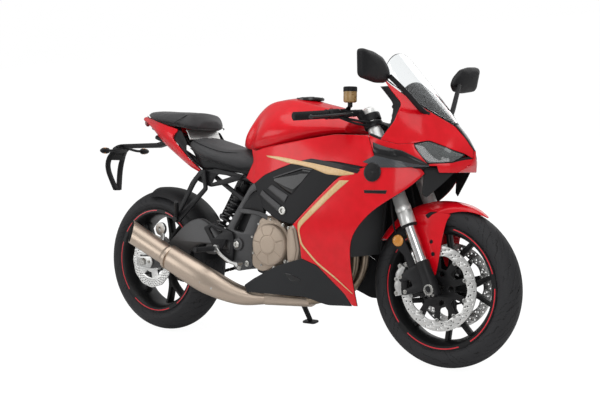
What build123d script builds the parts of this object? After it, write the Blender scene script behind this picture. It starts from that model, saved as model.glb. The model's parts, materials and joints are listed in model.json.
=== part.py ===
"""A sports motorcycle with a full fairing, parked on its side stand.

Every piece is drawn on the upright machine, in millimetres: x forward from the rear axle, y to the
rider's left, z up from the road. PARKED then leans the whole machine on to its stand.
"""

import os
from math import cos, radians, sin, sqrt

from build123d import *

os.makedirs("parts", exist_ok=True)

# Chassis
WHEELBASE = 1435
RAKE = 23.5
YOKE_OFFSET = 30
LEAN = 10
ORIGIN_X = 665
ORIGIN_Y = 191
RUNNING_GAP = 0.3

# Wheels and tyres
FRONT_TYRE_R = 300
FRONT_TYRE_W = 120
FRONT_RIM_W = 100
FRONT_CROWN_R = 66
REAR_TYRE_R = 315
REAR_TYRE_W = 180
REAR_RIM_W = 152
REAR_CROWN_R = 98
BEAD_R = 216
TYRE_WALL = 9
RIM_WALL = 5
FLANGE_H = 14
AXLE_R = 12
SPOKE_PAIRS = 5

# Brakes and final drive
FRONT_DISC_R = 158
FRONT_DISC_Y = 62
FRONT_HUB_HALF = 44
CALIPER_HALF = 24
HOSE_R = 4
REAR_DISC_R = 118
REAR_DISC_Y = 100
DISC_T = 5
DRILL_ROWS = [(8, 0), (18, 15), (28, 7)]
DRILL_COUNT = 12
DRILL_R = 4
SPROCKET_R = 106
DRIVE_SPROCKET_R = 41
DRIVE_SPROCKET_X = 648
DRIVE_SPROCKET_Z = 418
CHAIN_Y = 106
CHAIN_W = 17
CHAIN_H = 15

# Fork
FORK_Y = 104
FORK_OUTER_R = 27
FORK_INNER_R = 21
FORK_OUTER_LOW = 245
FORK_TOP = 715
FORK_FOOT_TOP = 108
STEM_R = 17
HEAD_TUBE_R = 33
LOWER_YOKE = 455
UPPER_YOKE = 650
YOKE_T = 26

# Frame and swingarm
PIVOT_X = 574
PIVOT_Z = 422
PIVOT_R = 22
PLATE_Y = 154
PLATE_T = 24
ARM_Y = 122
ARM_T = 28
ADJUSTER_T = 7
SPOOL_X = 90
SPOOL_R = 4
SPOOL_DEPTH = 20
PANEL_T = 4
PEG_PLATE_Y = 146
SEAT_COVER_Y = 135
SEAT_COVER_T = 6
ENGINE_HALF = 132

FRONT_AXLE = (WHEELBASE, 0, FRONT_TYRE_R)
REAR_AXLE = (0, 0, REAR_TYRE_R)
FORK_UP = Vector(-sin(radians(RAKE)), 0, cos(radians(RAKE)))
FORK_AHEAD = Vector(cos(radians(RAKE)), 0, sin(radians(RAKE)))
STEER_BASE = Vector(*FRONT_AXLE) - FORK_AHEAD * YOKE_OFFSET
LIFT = REAR_CROWN_R * (1 - cos(radians(LEAN)))
PARKED = Location((-ORIGIN_X, -ORIGIN_Y, LIFT), (-LEAN, 0, 0))
ROAD_UP = Vector(0, 0, 1).rotate(Axis.X, LEAN)

# Side stand: where it hinges, where its foot meets the road and how it points when folded
STAND_PIVOT = Vector(545, 152, 290)
STAND_FOOT_X = 590
STAND_FOOT_OUT = 300
STAND_FOOT_T = 8
STAND_LEG_R = 11
STAND_BOSS_R = 16
STAND_BOSS_HALF = 13
STAND_FOOT = Vector(STAND_FOOT_X, STAND_FOOT_OUT, STAND_FOOT_T - LIFT).rotate(Axis.X, LEAN)
STAND_DOWN = (STAND_FOOT - STAND_PIVOT).normalized()
STAND_FOLDED = Vector(-0.97, 0.14, -0.14).normalized()
STAND_AXIS = STAND_DOWN.cross(STAND_FOLDED).normalized()


def save(node, built):
    """Label a finished piece, lean it over with the machine and write it."""
    built.part.label = node
    export_step(built.part.moved(PARKED), f"parts/{node}.step")


def fork_plane(up, y=0, ahead=0):
    """Plane square to the fork, `up` along it from the axle: its x runs ahead, its y to the left."""
    origin = Vector(*FRONT_AXLE) + FORK_UP * up + FORK_AHEAD * ahead + Vector(0, y, 0)
    return Plane(origin, x_dir=FORK_AHEAD, z_dir=FORK_UP)


def stretch(x):
    """A place on the side view, carried along by the wheelbase: even steps from the pivot to the
    steering head, and the whole change ahead of the head."""
    drawn_head_x = 1190
    head_setback = 245
    change = WHEELBASE - head_setback - drawn_head_x
    share = (x - PIVOT_X) / (drawn_head_x - PIVOT_X)
    return x + change * min(max(share, 0), 1)


def at(x, y, z):
    """A point of the side view on the machine."""
    return Vector(stretch(x), y, z)


def across(x):
    """Upright plane across the machine at x: its x runs to the left, its y up."""
    return Plane((stretch(x), 0, 0), x_dir=(0, 1, 0), z_dir=(1, 0, 0))


def beside(y):
    """Upright plane along the machine at y: its x runs forward, its y up, its normal to the right."""
    return Plane((0, y, 0), x_dir=(1, 0, 0), z_dir=(0, -1, 0))


def body_section(x, low_half, low_z, mid_half, mid_z, top_half, top_z, crown):
    """Closed section across the machine: flat underside, bowed sides, arched top."""
    with BuildSketch(across(x)) as section:
        with BuildLine():
            Line((-low_half, low_z), (low_half, low_z))
            ThreePointArc((low_half, low_z), (mid_half, mid_z), (top_half, top_z))
            ThreePointArc((top_half, top_z), (0, top_z + crown), (-top_half, top_z))
            ThreePointArc((-top_half, top_z), (-mid_half, mid_z), (-low_half, low_z))
        make_face()
    return section.sketch


def panel_section(x, low_y, low_z, mid_y, mid_z, high_y, high_z, thick):
    """Thin bowed strip across the machine at x, its outer face through three points."""
    with BuildSketch(across(x)) as section:
        with BuildLine():
            ThreePointArc((low_y, low_z), (mid_y, mid_z), (high_y, high_z))
            Line((high_y, high_z), (high_y - thick, high_z))
            ThreePointArc((high_y - thick, high_z), (mid_y - thick, mid_z), (low_y - thick, low_z))
            Line((low_y - thick, low_z), (low_y, low_z))
        make_face()
    return section.sketch


def rod(start, end, radius, mode=Mode.ADD):
    """Straight round bar, or hole, from start to end."""
    run = Vector(*end) - Vector(*start)
    with BuildSketch(Plane(start, z_dir=run)) as section:
        Circle(radius)
    extrude(section.sketch, amount=run.length, mode=mode)


def cross_rod(x, z, left_y, right_y, radius, mode=Mode.ADD):
    """Round bar, or hole, straight across the machine."""
    rod((x, left_y, z), (x, right_y, z), radius, mode)


def plate(y, thick, outline, mode=Mode.ADD):
    """Flat plate along the machine, `thick` to the left of y, with a side-view outline."""
    with BuildSketch(beside(y + thick)) as face:
        with BuildLine():
            Polyline(*[(stretch(x), z) for x, z in outline], close=True)
        make_face()
    extrude(face.sketch, amount=thick, mode=mode)


def hose(points, radius, bend):
    """Round pipe along straight runs joined by arcs."""
    with BuildLine() as path:
        FilletPolyline(*points, radius=bend)
    with BuildSketch(Plane(points[0], z_dir=path.line % 0)) as section:
        Circle(radius)
    sweep(section.sketch, path=path.line)


# Tyres: a crowned tread, bulged side walls and beads that sit on the rim
TYRES = [
    ("front_tyre", FRONT_AXLE, FRONT_TYRE_R, FRONT_TYRE_W, FRONT_RIM_W, FRONT_CROWN_R),
    ("rear_tyre", REAR_AXLE, REAR_TYRE_R, REAR_TYRE_W, REAR_RIM_W, REAR_CROWN_R),
]
for node, axle, outer_r, width, rim_w, crown_r in TYRES:
    shoulder_y = width / 2 * 0.94
    shoulder_r = outer_r - crown_r + sqrt(crown_r**2 - shoulder_y**2)
    bead_y = rim_w / 2 - RIM_WALL - RUNNING_GAP
    side_r = (shoulder_r + BEAD_R) / 2 + 8
    lip_r = BEAD_R + FLANGE_H + 2
    seat_r = BEAD_R + RUNNING_GAP
    with BuildPart() as tyre:
        with BuildSketch(Plane(axle)):
            with BuildLine():
                ThreePointArc((shoulder_r, shoulder_y), (outer_r, 0), (shoulder_r, -shoulder_y))
                ThreePointArc((shoulder_r, -shoulder_y), (side_r, -width / 2), (lip_r, -bead_y))
                Line((lip_r, -bead_y), (seat_r, -bead_y))
                Polyline(
                    (seat_r, -bead_y),
                    (seat_r, -bead_y + TYRE_WALL),
                    (shoulder_r - TYRE_WALL, -shoulder_y + TYRE_WALL),
                )
                ThreePointArc(
                    (shoulder_r - TYRE_WALL, -shoulder_y + TYRE_WALL),
                    (outer_r - TYRE_WALL, 0),
                    (shoulder_r - TYRE_WALL, shoulder_y - TYRE_WALL),
                )
                Polyline(
                    (shoulder_r - TYRE_WALL, shoulder_y - TYRE_WALL),
                    (seat_r, bead_y - TYRE_WALL),
                    (seat_r, bead_y),
                )
                Line((seat_r, bead_y), (lip_r, bead_y))
                ThreePointArc((lip_r, bead_y), (side_r, width / 2), (shoulder_r, shoulder_y))
            make_face()
        revolve(axis=Axis(axle, (0, 1, 0)))
    save(node, tyre)

# Rims: a dropped-centre barrel, a hub and five forked spokes
RIMS = [
    ("front_rim", FRONT_AXLE, FRONT_RIM_W, 34, FRONT_HUB_HALF, 13),
    ("rear_rim", REAR_AXLE, REAR_RIM_W, 46, 70, 17),
]
for node, axle, rim_w, hub_r, hub_half, spoke_half in RIMS:
    flange_r = BEAD_R + FLANGE_H
    with BuildPart() as rim:
        with BuildSketch(Plane(axle)):
            with BuildLine():
                Polyline(
                    (flange_r, -rim_w / 2),
                    (flange_r, -rim_w / 2 + RIM_WALL),
                    (BEAD_R, -rim_w / 2 + RIM_WALL),
                    (BEAD_R, -rim_w / 2 + 22),
                    (BEAD_R - 16, -rim_w / 2 + 30),
                    (BEAD_R - 16, rim_w / 2 - 30),
                    (BEAD_R, rim_w / 2 - 22),
                    (BEAD_R, rim_w / 2 - RIM_WALL),
                    (flange_r, rim_w / 2 - RIM_WALL),
                    (flange_r, rim_w / 2),
                    (BEAD_R - RIM_WALL, rim_w / 2),
                    (BEAD_R - 22, rim_w / 2 - 34),
                    (BEAD_R - 22, -rim_w / 2 + 34),
                    (BEAD_R - RIM_WALL, -rim_w / 2),
                    close=True,
                )
            make_face()
        revolve(axis=Axis(axle, (0, 1, 0)))
        with BuildSketch(Plane(axle)):
            with BuildLine():
                Polyline(
                    (AXLE_R + RUNNING_GAP, -hub_half),
                    (hub_r, -hub_half),
                    (hub_r + 8, -spoke_half),
                    (hub_r + 8, spoke_half),
                    (hub_r, hub_half),
                    (AXLE_R + RUNNING_GAP, hub_half),
                    close=True,
                )
            make_face()
        revolve(axis=Axis(axle, (0, 1, 0)))
        with BuildSketch(Plane(axle, x_dir=(1, 0, 0), z_dir=(0, -1, 0))):
            with PolarLocations(0, SPOKE_PAIRS):
                with BuildLine():
                    Polyline(
                        (hub_r, -17),
                        (hub_r + 62, -13),
                        (BEAD_R - 21, -64),
                        (BEAD_R - 15, -46),
                        (hub_r + 84, 0),
                        (BEAD_R - 15, 46),
                        (BEAD_R - 21, 64),
                        (hub_r + 62, 13),
                        (hub_r, 17),
                        close=True,
                    )
                make_face()
        extrude(amount=spoke_half, both=True)
    save(node, rim)

# Brake discs: drilled rings on five-armed carriers
with BuildPart() as front_discs:
    for side in (-1, 1):
        with BuildSketch(Plane((WHEELBASE, side * FRONT_DISC_Y, FRONT_TYRE_R), z_dir=(0, 1, 0))):
            Circle(FRONT_DISC_R)
            Circle(FRONT_DISC_R - 38, mode=Mode.SUBTRACT)
            for reach, turn in DRILL_ROWS:
                with PolarLocations(FRONT_DISC_R - reach, DRILL_COUNT, turn):
                    Circle(DRILL_R, mode=Mode.SUBTRACT)
        extrude(amount=DISC_T / 2, both=True)
save("front_discs", front_discs)

with BuildPart() as front_carriers:
    for side in (-1, 1):
        with BuildSketch(beside(side * FRONT_DISC_Y + DISC_T / 2)):
            with Locations((WHEELBASE, FRONT_TYRE_R)):
                Circle(52)
                with PolarLocations(81, 10):
                    Rectangle(77.4, 14)
        extrude(amount=DISC_T)
        cross_rod(WHEELBASE, FRONT_TYRE_R, side * FRONT_HUB_HALF, side * FRONT_DISC_Y, 46)
        cross_rod(WHEELBASE, FRONT_TYRE_R, 0, side * 2 * FRONT_DISC_Y, 24, Mode.SUBTRACT)
save("front_disc_carriers", front_carriers)

with BuildPart() as rear_disc:
    with BuildSketch(Plane((0, -REAR_DISC_Y, REAR_TYRE_R), z_dir=(0, 1, 0))):
        Circle(REAR_DISC_R)
        Circle(REAR_DISC_R - 36, mode=Mode.SUBTRACT)
        Circle(60)
        with PolarLocations(74, 5):
            Rectangle(36, 20)
        Circle(AXLE_R + 18, mode=Mode.SUBTRACT)
    extrude(amount=DISC_T / 2, both=True)
    with BuildSketch(Plane((0, -REAR_DISC_Y, REAR_TYRE_R), z_dir=(0, 1, 0))):
        Circle(44)
        Circle(AXLE_R + 18, mode=Mode.SUBTRACT)
    extrude(amount=REAR_DISC_Y - 70)
save("rear_disc", rear_disc)

with BuildPart() as rear_sprocket:
    with BuildSketch(Plane((0, CHAIN_Y, REAR_TYRE_R), z_dir=(0, 1, 0))):
        Circle(SPROCKET_R - CHAIN_H / 2 - 1)
        with PolarLocations(66, 5):
            Circle(15, mode=Mode.SUBTRACT)
        Circle(AXLE_R + 18, mode=Mode.SUBTRACT)
    extrude(amount=3.5, both=True)
    with BuildSketch(Plane((0, 70, REAR_TYRE_R), z_dir=(0, 1, 0))):
        Circle(44)
        Circle(AXLE_R + 18, mode=Mode.SUBTRACT)
    extrude(amount=CHAIN_Y - 70)
save("rear_sprocket", rear_sprocket)

# Chain: one loop round both sprockets
with BuildPart() as chain:
    for reach, mode in ((CHAIN_H / 2, Mode.ADD), (-CHAIN_H / 2, Mode.SUBTRACT)):
        with BuildSketch(beside(CHAIN_Y + CHAIN_W / 2)):
            with Locations((0, REAR_TYRE_R)):
                Circle(SPROCKET_R + reach)
            with Locations((DRIVE_SPROCKET_X, DRIVE_SPROCKET_Z)):
                Circle(DRIVE_SPROCKET_R + reach)
            make_hull()
        extrude(amount=CHAIN_W, mode=mode)
save("drive_chain", chain)

# Axles
with BuildPart() as front_axle:
    cross_rod(WHEELBASE, FRONT_TYRE_R, -FORK_Y - 30, FORK_Y + 30, AXLE_R)
save("front_axle", front_axle)

with BuildPart() as rear_axle:
    cross_rod(0, REAR_TYRE_R, -ARM_Y - ARM_T - 8, ARM_Y + ARM_T + 8, AXLE_R)
save("rear_axle", rear_axle)

# Fork: upside-down legs, their feet clamping the axle and carrying the calipers
with BuildPart() as fork_outers:
    for side in (-1, 1):
        with BuildSketch(fork_plane(FORK_OUTER_LOW, side * FORK_Y)):
            Circle(FORK_OUTER_R)
        extrude(amount=FORK_TOP - FORK_OUTER_LOW)
        with BuildSketch(fork_plane(FORK_OUTER_LOW, side * FORK_Y)):
            Circle(FORK_INNER_R)
        extrude(amount=60, mode=Mode.SUBTRACT)
save("fork_outer_tubes", fork_outers)

with BuildPart() as fork_inners:
    for side in (-1, 1):
        with BuildSketch(fork_plane(FORK_FOOT_TOP - 40, side * FORK_Y)):
            Circle(FORK_INNER_R)
        extrude(amount=FORK_OUTER_LOW + 60 - FORK_FOOT_TOP + 40)
save("fork_inner_tubes", fork_inners)

with BuildPart() as fork_feet:
    for side in (-1, 1):
        with BuildSketch(fork_plane(-30, side * FORK_Y)):
            Circle(FORK_INNER_R + 6)
        extrude(amount=FORK_FOOT_TOP + 30)
        with BuildSketch(fork_plane(20, side * FORK_Y, -62)):
            RectangleRounded(104, 2 * (FORK_Y - FRONT_DISC_Y - CALIPER_HALF - RUNNING_GAP), 6)
        extrude(amount=74)
        with BuildSketch(fork_plane(FORK_FOOT_TOP - 40, side * FORK_Y)):
            Circle(FORK_INNER_R)
        extrude(amount=60, mode=Mode.SUBTRACT)
    cross_rod(WHEELBASE, FRONT_TYRE_R, -FORK_Y - 40, FORK_Y + 40, AXLE_R + RUNNING_GAP, Mode.SUBTRACT)
save("fork_feet", fork_feet)

# Yokes and stem: two clamps that hold the legs, turning in the head tube
with BuildPart() as yokes:
    for up, reach in ((LOWER_YOKE, 36), (UPPER_YOKE, 34)):
        with BuildSketch(fork_plane(up)):
            with Locations((0, -FORK_Y), (0, FORK_Y), (-YOKE_OFFSET - 4, 0)):
                Circle(reach)
            make_hull()
            with Locations((0, -FORK_Y), (0, FORK_Y)):
                Circle(FORK_OUTER_R + RUNNING_GAP / 2, mode=Mode.SUBTRACT)
        extrude(amount=YOKE_T)
    with BuildSketch(fork_plane(LOWER_YOKE, 0, -YOKE_OFFSET)):
        Circle(STEM_R)
    extrude(amount=UPPER_YOKE + YOKE_T + 12 - LOWER_YOKE)
save("fork_yokes", yokes)

# Handlebars: one bar on each side, clamped to the fork above the upper yoke
CLIP_UP = UPPER_YOKE + YOKE_T + 2
CLIP_T = 28
BAR_ROOT = Vector(WHEELBASE - 295, 130, 945)
BAR_END = Vector(WHEELBASE - 423, 385, 922)
BAR_R = 11
GRIP_R = 16
BAR_RUN = BAR_END - BAR_ROOT
RESERVOIR = Vector(WHEELBASE - 298, -204, 978)
with BuildPart() as bars:
    for side in (-1, 1):
        with BuildSketch(fork_plane(CLIP_UP, side * FORK_Y)):
            Circle(FORK_OUTER_R + 9)
            Circle(FORK_OUTER_R + RUNNING_GAP / 2, mode=Mode.SUBTRACT)
        extrude(amount=CLIP_T)
        root = Vector(BAR_ROOT.X, side * BAR_ROOT.Y, BAR_ROOT.Z)
        run = Vector(BAR_RUN.X, side * BAR_RUN.Y, BAR_RUN.Z)
        rod(root, root + run * 0.985, BAR_R)
        with BuildSketch(fork_plane(CLIP_UP - YOKE_T, side * FORK_Y)):
            Circle(FORK_OUTER_R + RUNNING_GAP / 2)
        extrude(amount=4 * YOKE_T, mode=Mode.SUBTRACT)
save("handlebars", bars)

with BuildPart() as grips:
    for side in (-1, 1):
        root = Vector(BAR_ROOT.X, side * BAR_ROOT.Y, BAR_ROOT.Z)
        run = Vector(BAR_RUN.X, side * BAR_RUN.Y, BAR_RUN.Z)
        rod(root + run * 0.52, root + run, GRIP_R)
        rod(root + run * 0.5, root + run * 0.985, BAR_R, Mode.SUBTRACT)
save("grips", grips)

with BuildPart() as controls:
    for side in (-1, 1):
        root = Vector(BAR_ROOT.X, side * BAR_ROOT.Y, BAR_ROOT.Z)
        run = Vector(BAR_RUN.X, side * BAR_RUN.Y, BAR_RUN.Z)
        with BuildSketch(Plane(root + run * 0.34, x_dir=(0, 0, 1), z_dir=run)):
            RectangleRounded(44, 38, 9)
            Circle(BAR_R + RUNNING_GAP / 2, mode=Mode.SUBTRACT)
        extrude(amount=run.length * 0.16)
        perch = root + run * 0.22
        with BuildSketch(Plane(perch, x_dir=(0, 0, 1), z_dir=run)):
            RectangleRounded(34, 34, 8)
            Circle(BAR_R + RUNNING_GAP / 2, mode=Mode.SUBTRACT)
        extrude(amount=run.length * 0.09)
        lever_root = perch + Vector(19, side * 8, -2)
        lever_tip = root + run * 0.93 + Vector(62, 0, -4)
        rod(lever_root, lever_tip, 6)
        with Locations(lever_tip):
            Sphere(9)
    shelf = RESERVOIR - Vector(0, 0, 16 + RUNNING_GAP)
    rod(shelf - Vector(0, 0, 9), shelf, 13)
    rod(Vector(WHEELBASE - 315, -199, 953), shelf - Vector(0, 0, 7), 5.5)
save("bar_controls", controls)

with BuildPart() as reservoir:
    rod(RESERVOIR, RESERVOIR + Vector(0, 0, 44), 21)
    rod(RESERVOIR - Vector(0, 0, 16), RESERVOIR, 9)
save("brake_reservoir", reservoir)

# Front mudguard: an arch over the tyre with a wing down each fork leg
GUARD_R = FRONT_TYRE_R + 16
GUARD_WING = [(-135, 0), (-40, 25), (5, -90), (-7, -212), (-31, -210), (-63, -130)]
GUARD_CUT = [(0, 0), (365, 0), (365, 180), (175, 268), (0, 120)]
with BuildPart() as front_guard:
    with BuildSketch(Plane(FRONT_AXLE)):
        with BuildLine():
            ThreePointArc((GUARD_R - 52, -70), (GUARD_R + 4, 0), (GUARD_R - 52, 70))
            Line((GUARD_R - 52, 70), (GUARD_R - 52, 66))
            ThreePointArc((GUARD_R - 52, 66), (GUARD_R, 0), (GUARD_R - 52, -66))
            Line((GUARD_R - 52, -66), (GUARD_R - 52, -70))
        make_face()
    revolve(axis=Axis(FRONT_AXLE, (0, -1, 0)), revolution_arc=150)
    with BuildSketch(Plane(FRONT_AXLE, x_dir=(1, 0, 0), z_dir=(0, -1, 0))):
        with BuildLine():
            Polyline(*GUARD_CUT, close=True)
        make_face()
    extrude(amount=200, both=True, mode=Mode.SUBTRACT)
    for side in (-1, 1):
        wing_root = (WHEELBASE, side * 64, FRONT_TYRE_R + 260)
        with BuildSketch(Plane(wing_root, x_dir=(1, 0, 0), z_dir=(0, -1, -side * 0.04))):
            with BuildLine():
                Polyline(*GUARD_WING, close=True)
            make_face()
        extrude(amount=-side * 3.5)
        cross_rod(WHEELBASE - 33, FRONT_TYRE_R + 92, side * 72, side * (FORK_Y - FORK_INNER_R - 6 - RUNNING_GAP), 6)
save("front_mudguard", front_guard)

# Front calipers: radial blocks behind each fork foot, over the disc rim
with BuildPart() as front_calipers:
    for side in (-1, 1):
        middle = (WHEELBASE, side * FRONT_DISC_Y, FRONT_TYRE_R)
        with BuildSketch(Plane(middle, x_dir=(1, 0, 0), z_dir=(0, -1, 0))):
            with BuildLine():
                CenterArc((0, 0), FRONT_DISC_R + 16, 150, 45)
                CenterArc((0, 0), FRONT_DISC_R - 42, 150, 45)
                for angle in (150, 195):
                    out = Vector(cos(radians(angle)), sin(radians(angle)), 0)
                    Line(out * (FRONT_DISC_R - 42), out * (FRONT_DISC_R + 16))
            make_face()
        extrude(amount=CALIPER_HALF, both=True)
        cross_rod(
            WHEELBASE,
            FRONT_TYRE_R,
            side * (FRONT_DISC_Y - 5),
            side * (FRONT_DISC_Y + 5),
            FRONT_DISC_R + 6,
            Mode.SUBTRACT,
        )
save("front_calipers", front_calipers)

# Brake hoses: from each caliper up behind its fork leg, their slanted ends just below the lower yoke
HOSE_ROUTE = [(-124, 77, 75), (-135, 84, 130), (-177, 84, 220), (-197, 78, 340)]
with BuildPart() as brake_hoses:
    for side in (-1, 1):
        route = [Vector(*FRONT_AXLE) + Vector(x, side * y, z) for x, y, z in HOSE_ROUTE]
        route.append(fork_plane(LOWER_YOKE - RUNNING_GAP - HOSE_R / 2, side * 60, -20).origin)
        hose(route, HOSE_R, 14)
save("brake_hoses", brake_hoses)

# Frame: head tube, two spars that spread round the engine, and pivot plates with triangular windows
SPAR_PLAN = [
    # x, outer y and inner y of the left spar, seen from above
    (1190, 12, 0),
    (1150, 48, 0),
    (1130, 64, 14),
    (1040, 128, 98),
    (880, 180, 150),
    (686, PLATE_Y + PLATE_T - 1, PLATE_Y + 1),
]
SPAR_SIDE = [
    # x, low z and high z, seen from the side
    (1200, 782, 872),
    (1150, 770, 862),
    (1040, 730, 836),
    (880, 690, 800),
    (686, 552, 688),
]
PIVOT_PLATE = [
    (701, 560),
    (701, 700),
    (640, 668),
    (560, 560),
    (500, 470),
    (520, 380),
    (560, 310),
    (652, 330),
    (656, 440),
]
PLATE_WINDOWS = [
    [(680, 600), (680, 650), (640, 630), (600, 575)],
    [(650, 565), (590, 550), (545, 480), (600, 470)],
]
with BuildPart() as frame:
    for side in (-1, 1):
        outer = [(stretch(x), side * outer_y) for x, outer_y, inner_y in SPAR_PLAN]
        inner = [(stretch(x), side * inner_y) for x, outer_y, inner_y in SPAR_PLAN]
        with BuildSketch(Plane((0, 0, 540))):
            with BuildLine():
                Polyline(*outer, *inner[::-1], close=True)
            make_face()
        extrude(amount=400)
    low = [(x, low_z) for x, low_z, high_z in SPAR_SIDE]
    high = [(x, high_z) for x, low_z, high_z in SPAR_SIDE]
    plate(-200, 400, low + high[::-1], Mode.INTERSECT)
    with BuildSketch(fork_plane(LOWER_YOKE + YOKE_T + 1, 0, -YOKE_OFFSET)):
        Circle(HEAD_TUBE_R)
    extrude(amount=UPPER_YOKE - LOWER_YOKE - YOKE_T - 2)
    for low_y in (PLATE_Y, -PLATE_Y - PLATE_T):
        plate(low_y, PLATE_T, PIVOT_PLATE)
        for window in PLATE_WINDOWS:
            plate(low_y, PLATE_T, window, Mode.SUBTRACT)
    cross_rod(PIVOT_X - 4, 327, -PLATE_Y - 5, PLATE_Y + 5, 13)
    cross_rod(682, 667, -PLATE_Y - 5, PLATE_Y + 5, 12)
    for side in (-1, 1):
        for z in (356, 476):
            cross_rod(stretch(641), z, side * (ENGINE_HALF + RUNNING_GAP), side * (PLATE_Y + 4), 12)
    cross_rod(PIVOT_X, PIVOT_Z, -PLATE_Y - PLATE_T - 6, PLATE_Y + PLATE_T + 6, PIVOT_R - 8)
    lug_face = STAND_PIVOT - STAND_AXIS * (STAND_BOSS_HALF + RUNNING_GAP)
    rod(lug_face - STAND_AXIS * 34, lug_face, STAND_BOSS_R)
    plate(112, 18, [(600, 335), (545, 335), (528, 300), (530, 268), (560, 262), (590, 300)])
    with BuildSketch(fork_plane(LOWER_YOKE, 0, -YOKE_OFFSET)):
        Circle(STEM_R + RUNNING_GAP)
    extrude(amount=UPPER_YOKE - LOWER_YOKE, mode=Mode.SUBTRACT)
save("main_frame", frame)

# Engine: crankcase and forward-leaning cylinders, with round covers on each side
with BuildPart() as engine:
    plate(
        -ENGINE_HALF,
        2 * ENGINE_HALF,
        [(632, 310), (700, 296), (905, 300), (925, 400), (890, 520)]
        + [(960, 660), (905, 735), (790, 690), (740, 545), (632, 505)],
    )
    fillet(engine.edges().filter_by(Axis.Y), 14)
    for radius, mode in (
        (DRIVE_SPROCKET_R + CHAIN_H, Mode.SUBTRACT),
        (DRIVE_SPROCKET_R - CHAIN_H / 2 - RUNNING_GAP, Mode.ADD),
    ):
        cross_rod(
            DRIVE_SPROCKET_X, DRIVE_SPROCKET_Z, CHAIN_Y - CHAIN_W / 2, CHAIN_Y + CHAIN_W / 2, radius, mode
        )
save("engine_block", engine)

COVERS = [
    # x, z, radius, root y, outer y
    (745, 430, 83, -ENGINE_HALF, -205),
    (845, 430, 70, ENGINE_HALF, 195),
]
with BuildPart() as engine_covers:
    for x, z, radius, root_y, outer_y in COVERS:
        cross_rod(stretch(x), z, root_y, outer_y, radius)
    plate(-190, 190 - ENGINE_HALF, [(838, 360), (880, 362), (892, 420), (872, 512), (836, 506)])
save("engine_covers", engine_covers)

# Radiator: an upright core with side tanks, ahead of the engine
with BuildPart() as radiator:
    with BuildSketch(Plane(at(1040, 0, 540), x_dir=(0, 1, 0), z_dir=(1, 0, -0.12))):
        RectangleRounded(330, 300, 10)
    extrude(amount=30)
    for side in (-1, 1):
        rod(at(1056, side * 106, 660), at(1056, side * 106, 732.5), 8)
save("radiator", radiator)

# Exhaust: four headers under the engine, a collector, and on the right a silencer with a slanted mouth
with BuildPart() as headers:
    for y in (-105, -35, 35, 105):
        hose(
            [at(943, y, 624.5), at(1000, y, 596), at(1000, y, 320)]
            + [at(930, y * 0.8, 215), at(800, y * 0.45 - 20, 205)],
            19,
            40,
        )
    with BuildSketch(Plane(at(820, -20, 205), x_dir=(0, 1, 0), z_dir=(-1, 0, 0))):
        RectangleRounded(170, 56, 20)
    with BuildSketch(Plane(at(660, -90, 205), x_dir=(0, 1, 0), z_dir=(-1, 0, 0))):
        RectangleRounded(90, 60, 24)
    loft()
save("exhaust_headers", headers)

SILENCER = [
    # x, y, z, half height, half width
    (659.7, -90, 205, 28, 44),
    (560, -150, 212, 40, 44),
    (440, -205, 262, 56, 42),
    (230, -222, 352, 54, 46),
]
OUTLET = Vector(-1, 0, 0.42).normalized()
CAN_ROOT = Vector(236, -222, 349)
CAN_LENGTH = 320
CAN_ROOT_R = 49
CAN_END_R = 42
CAN_BORE_R = 38
MOUTH_AT = 247
MOUTH_DEPTH = 110
with BuildPart() as silencer:
    sections = []
    for x, y, z, half_height, half_width in SILENCER:
        normal = Vector(-1, 0, 0) if x > 600 else OUTLET
        with BuildSketch(Plane(at(x, y, z), x_dir=(0, 1, 0), z_dir=normal)) as section:
            Ellipse(half_width, half_height)
        sections.append(section.sketch)
    loft(sections)
    can = []
    for along, radius in ((0, CAN_ROOT_R), (CAN_LENGTH, CAN_END_R)):
        with BuildSketch(Plane(CAN_ROOT + OUTLET * along, x_dir=(0, 1, 0), z_dir=OUTLET)) as section:
            Circle(radius)
        can.append(section.sketch)
    loft(can)
    mouth = CAN_ROOT + OUTLET * MOUTH_AT
    split(bisect_by=Plane(mouth, x_dir=(0, 0, 1), z_dir=OUTLET + Vector(0, -0.8, 0)), keep=Keep.BOTTOM)
    rod(mouth - OUTLET * MOUTH_DEPTH, mouth + OUTLET * MOUTH_DEPTH, CAN_BORE_R, Mode.SUBTRACT)
save("silencer", silencer)

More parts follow.
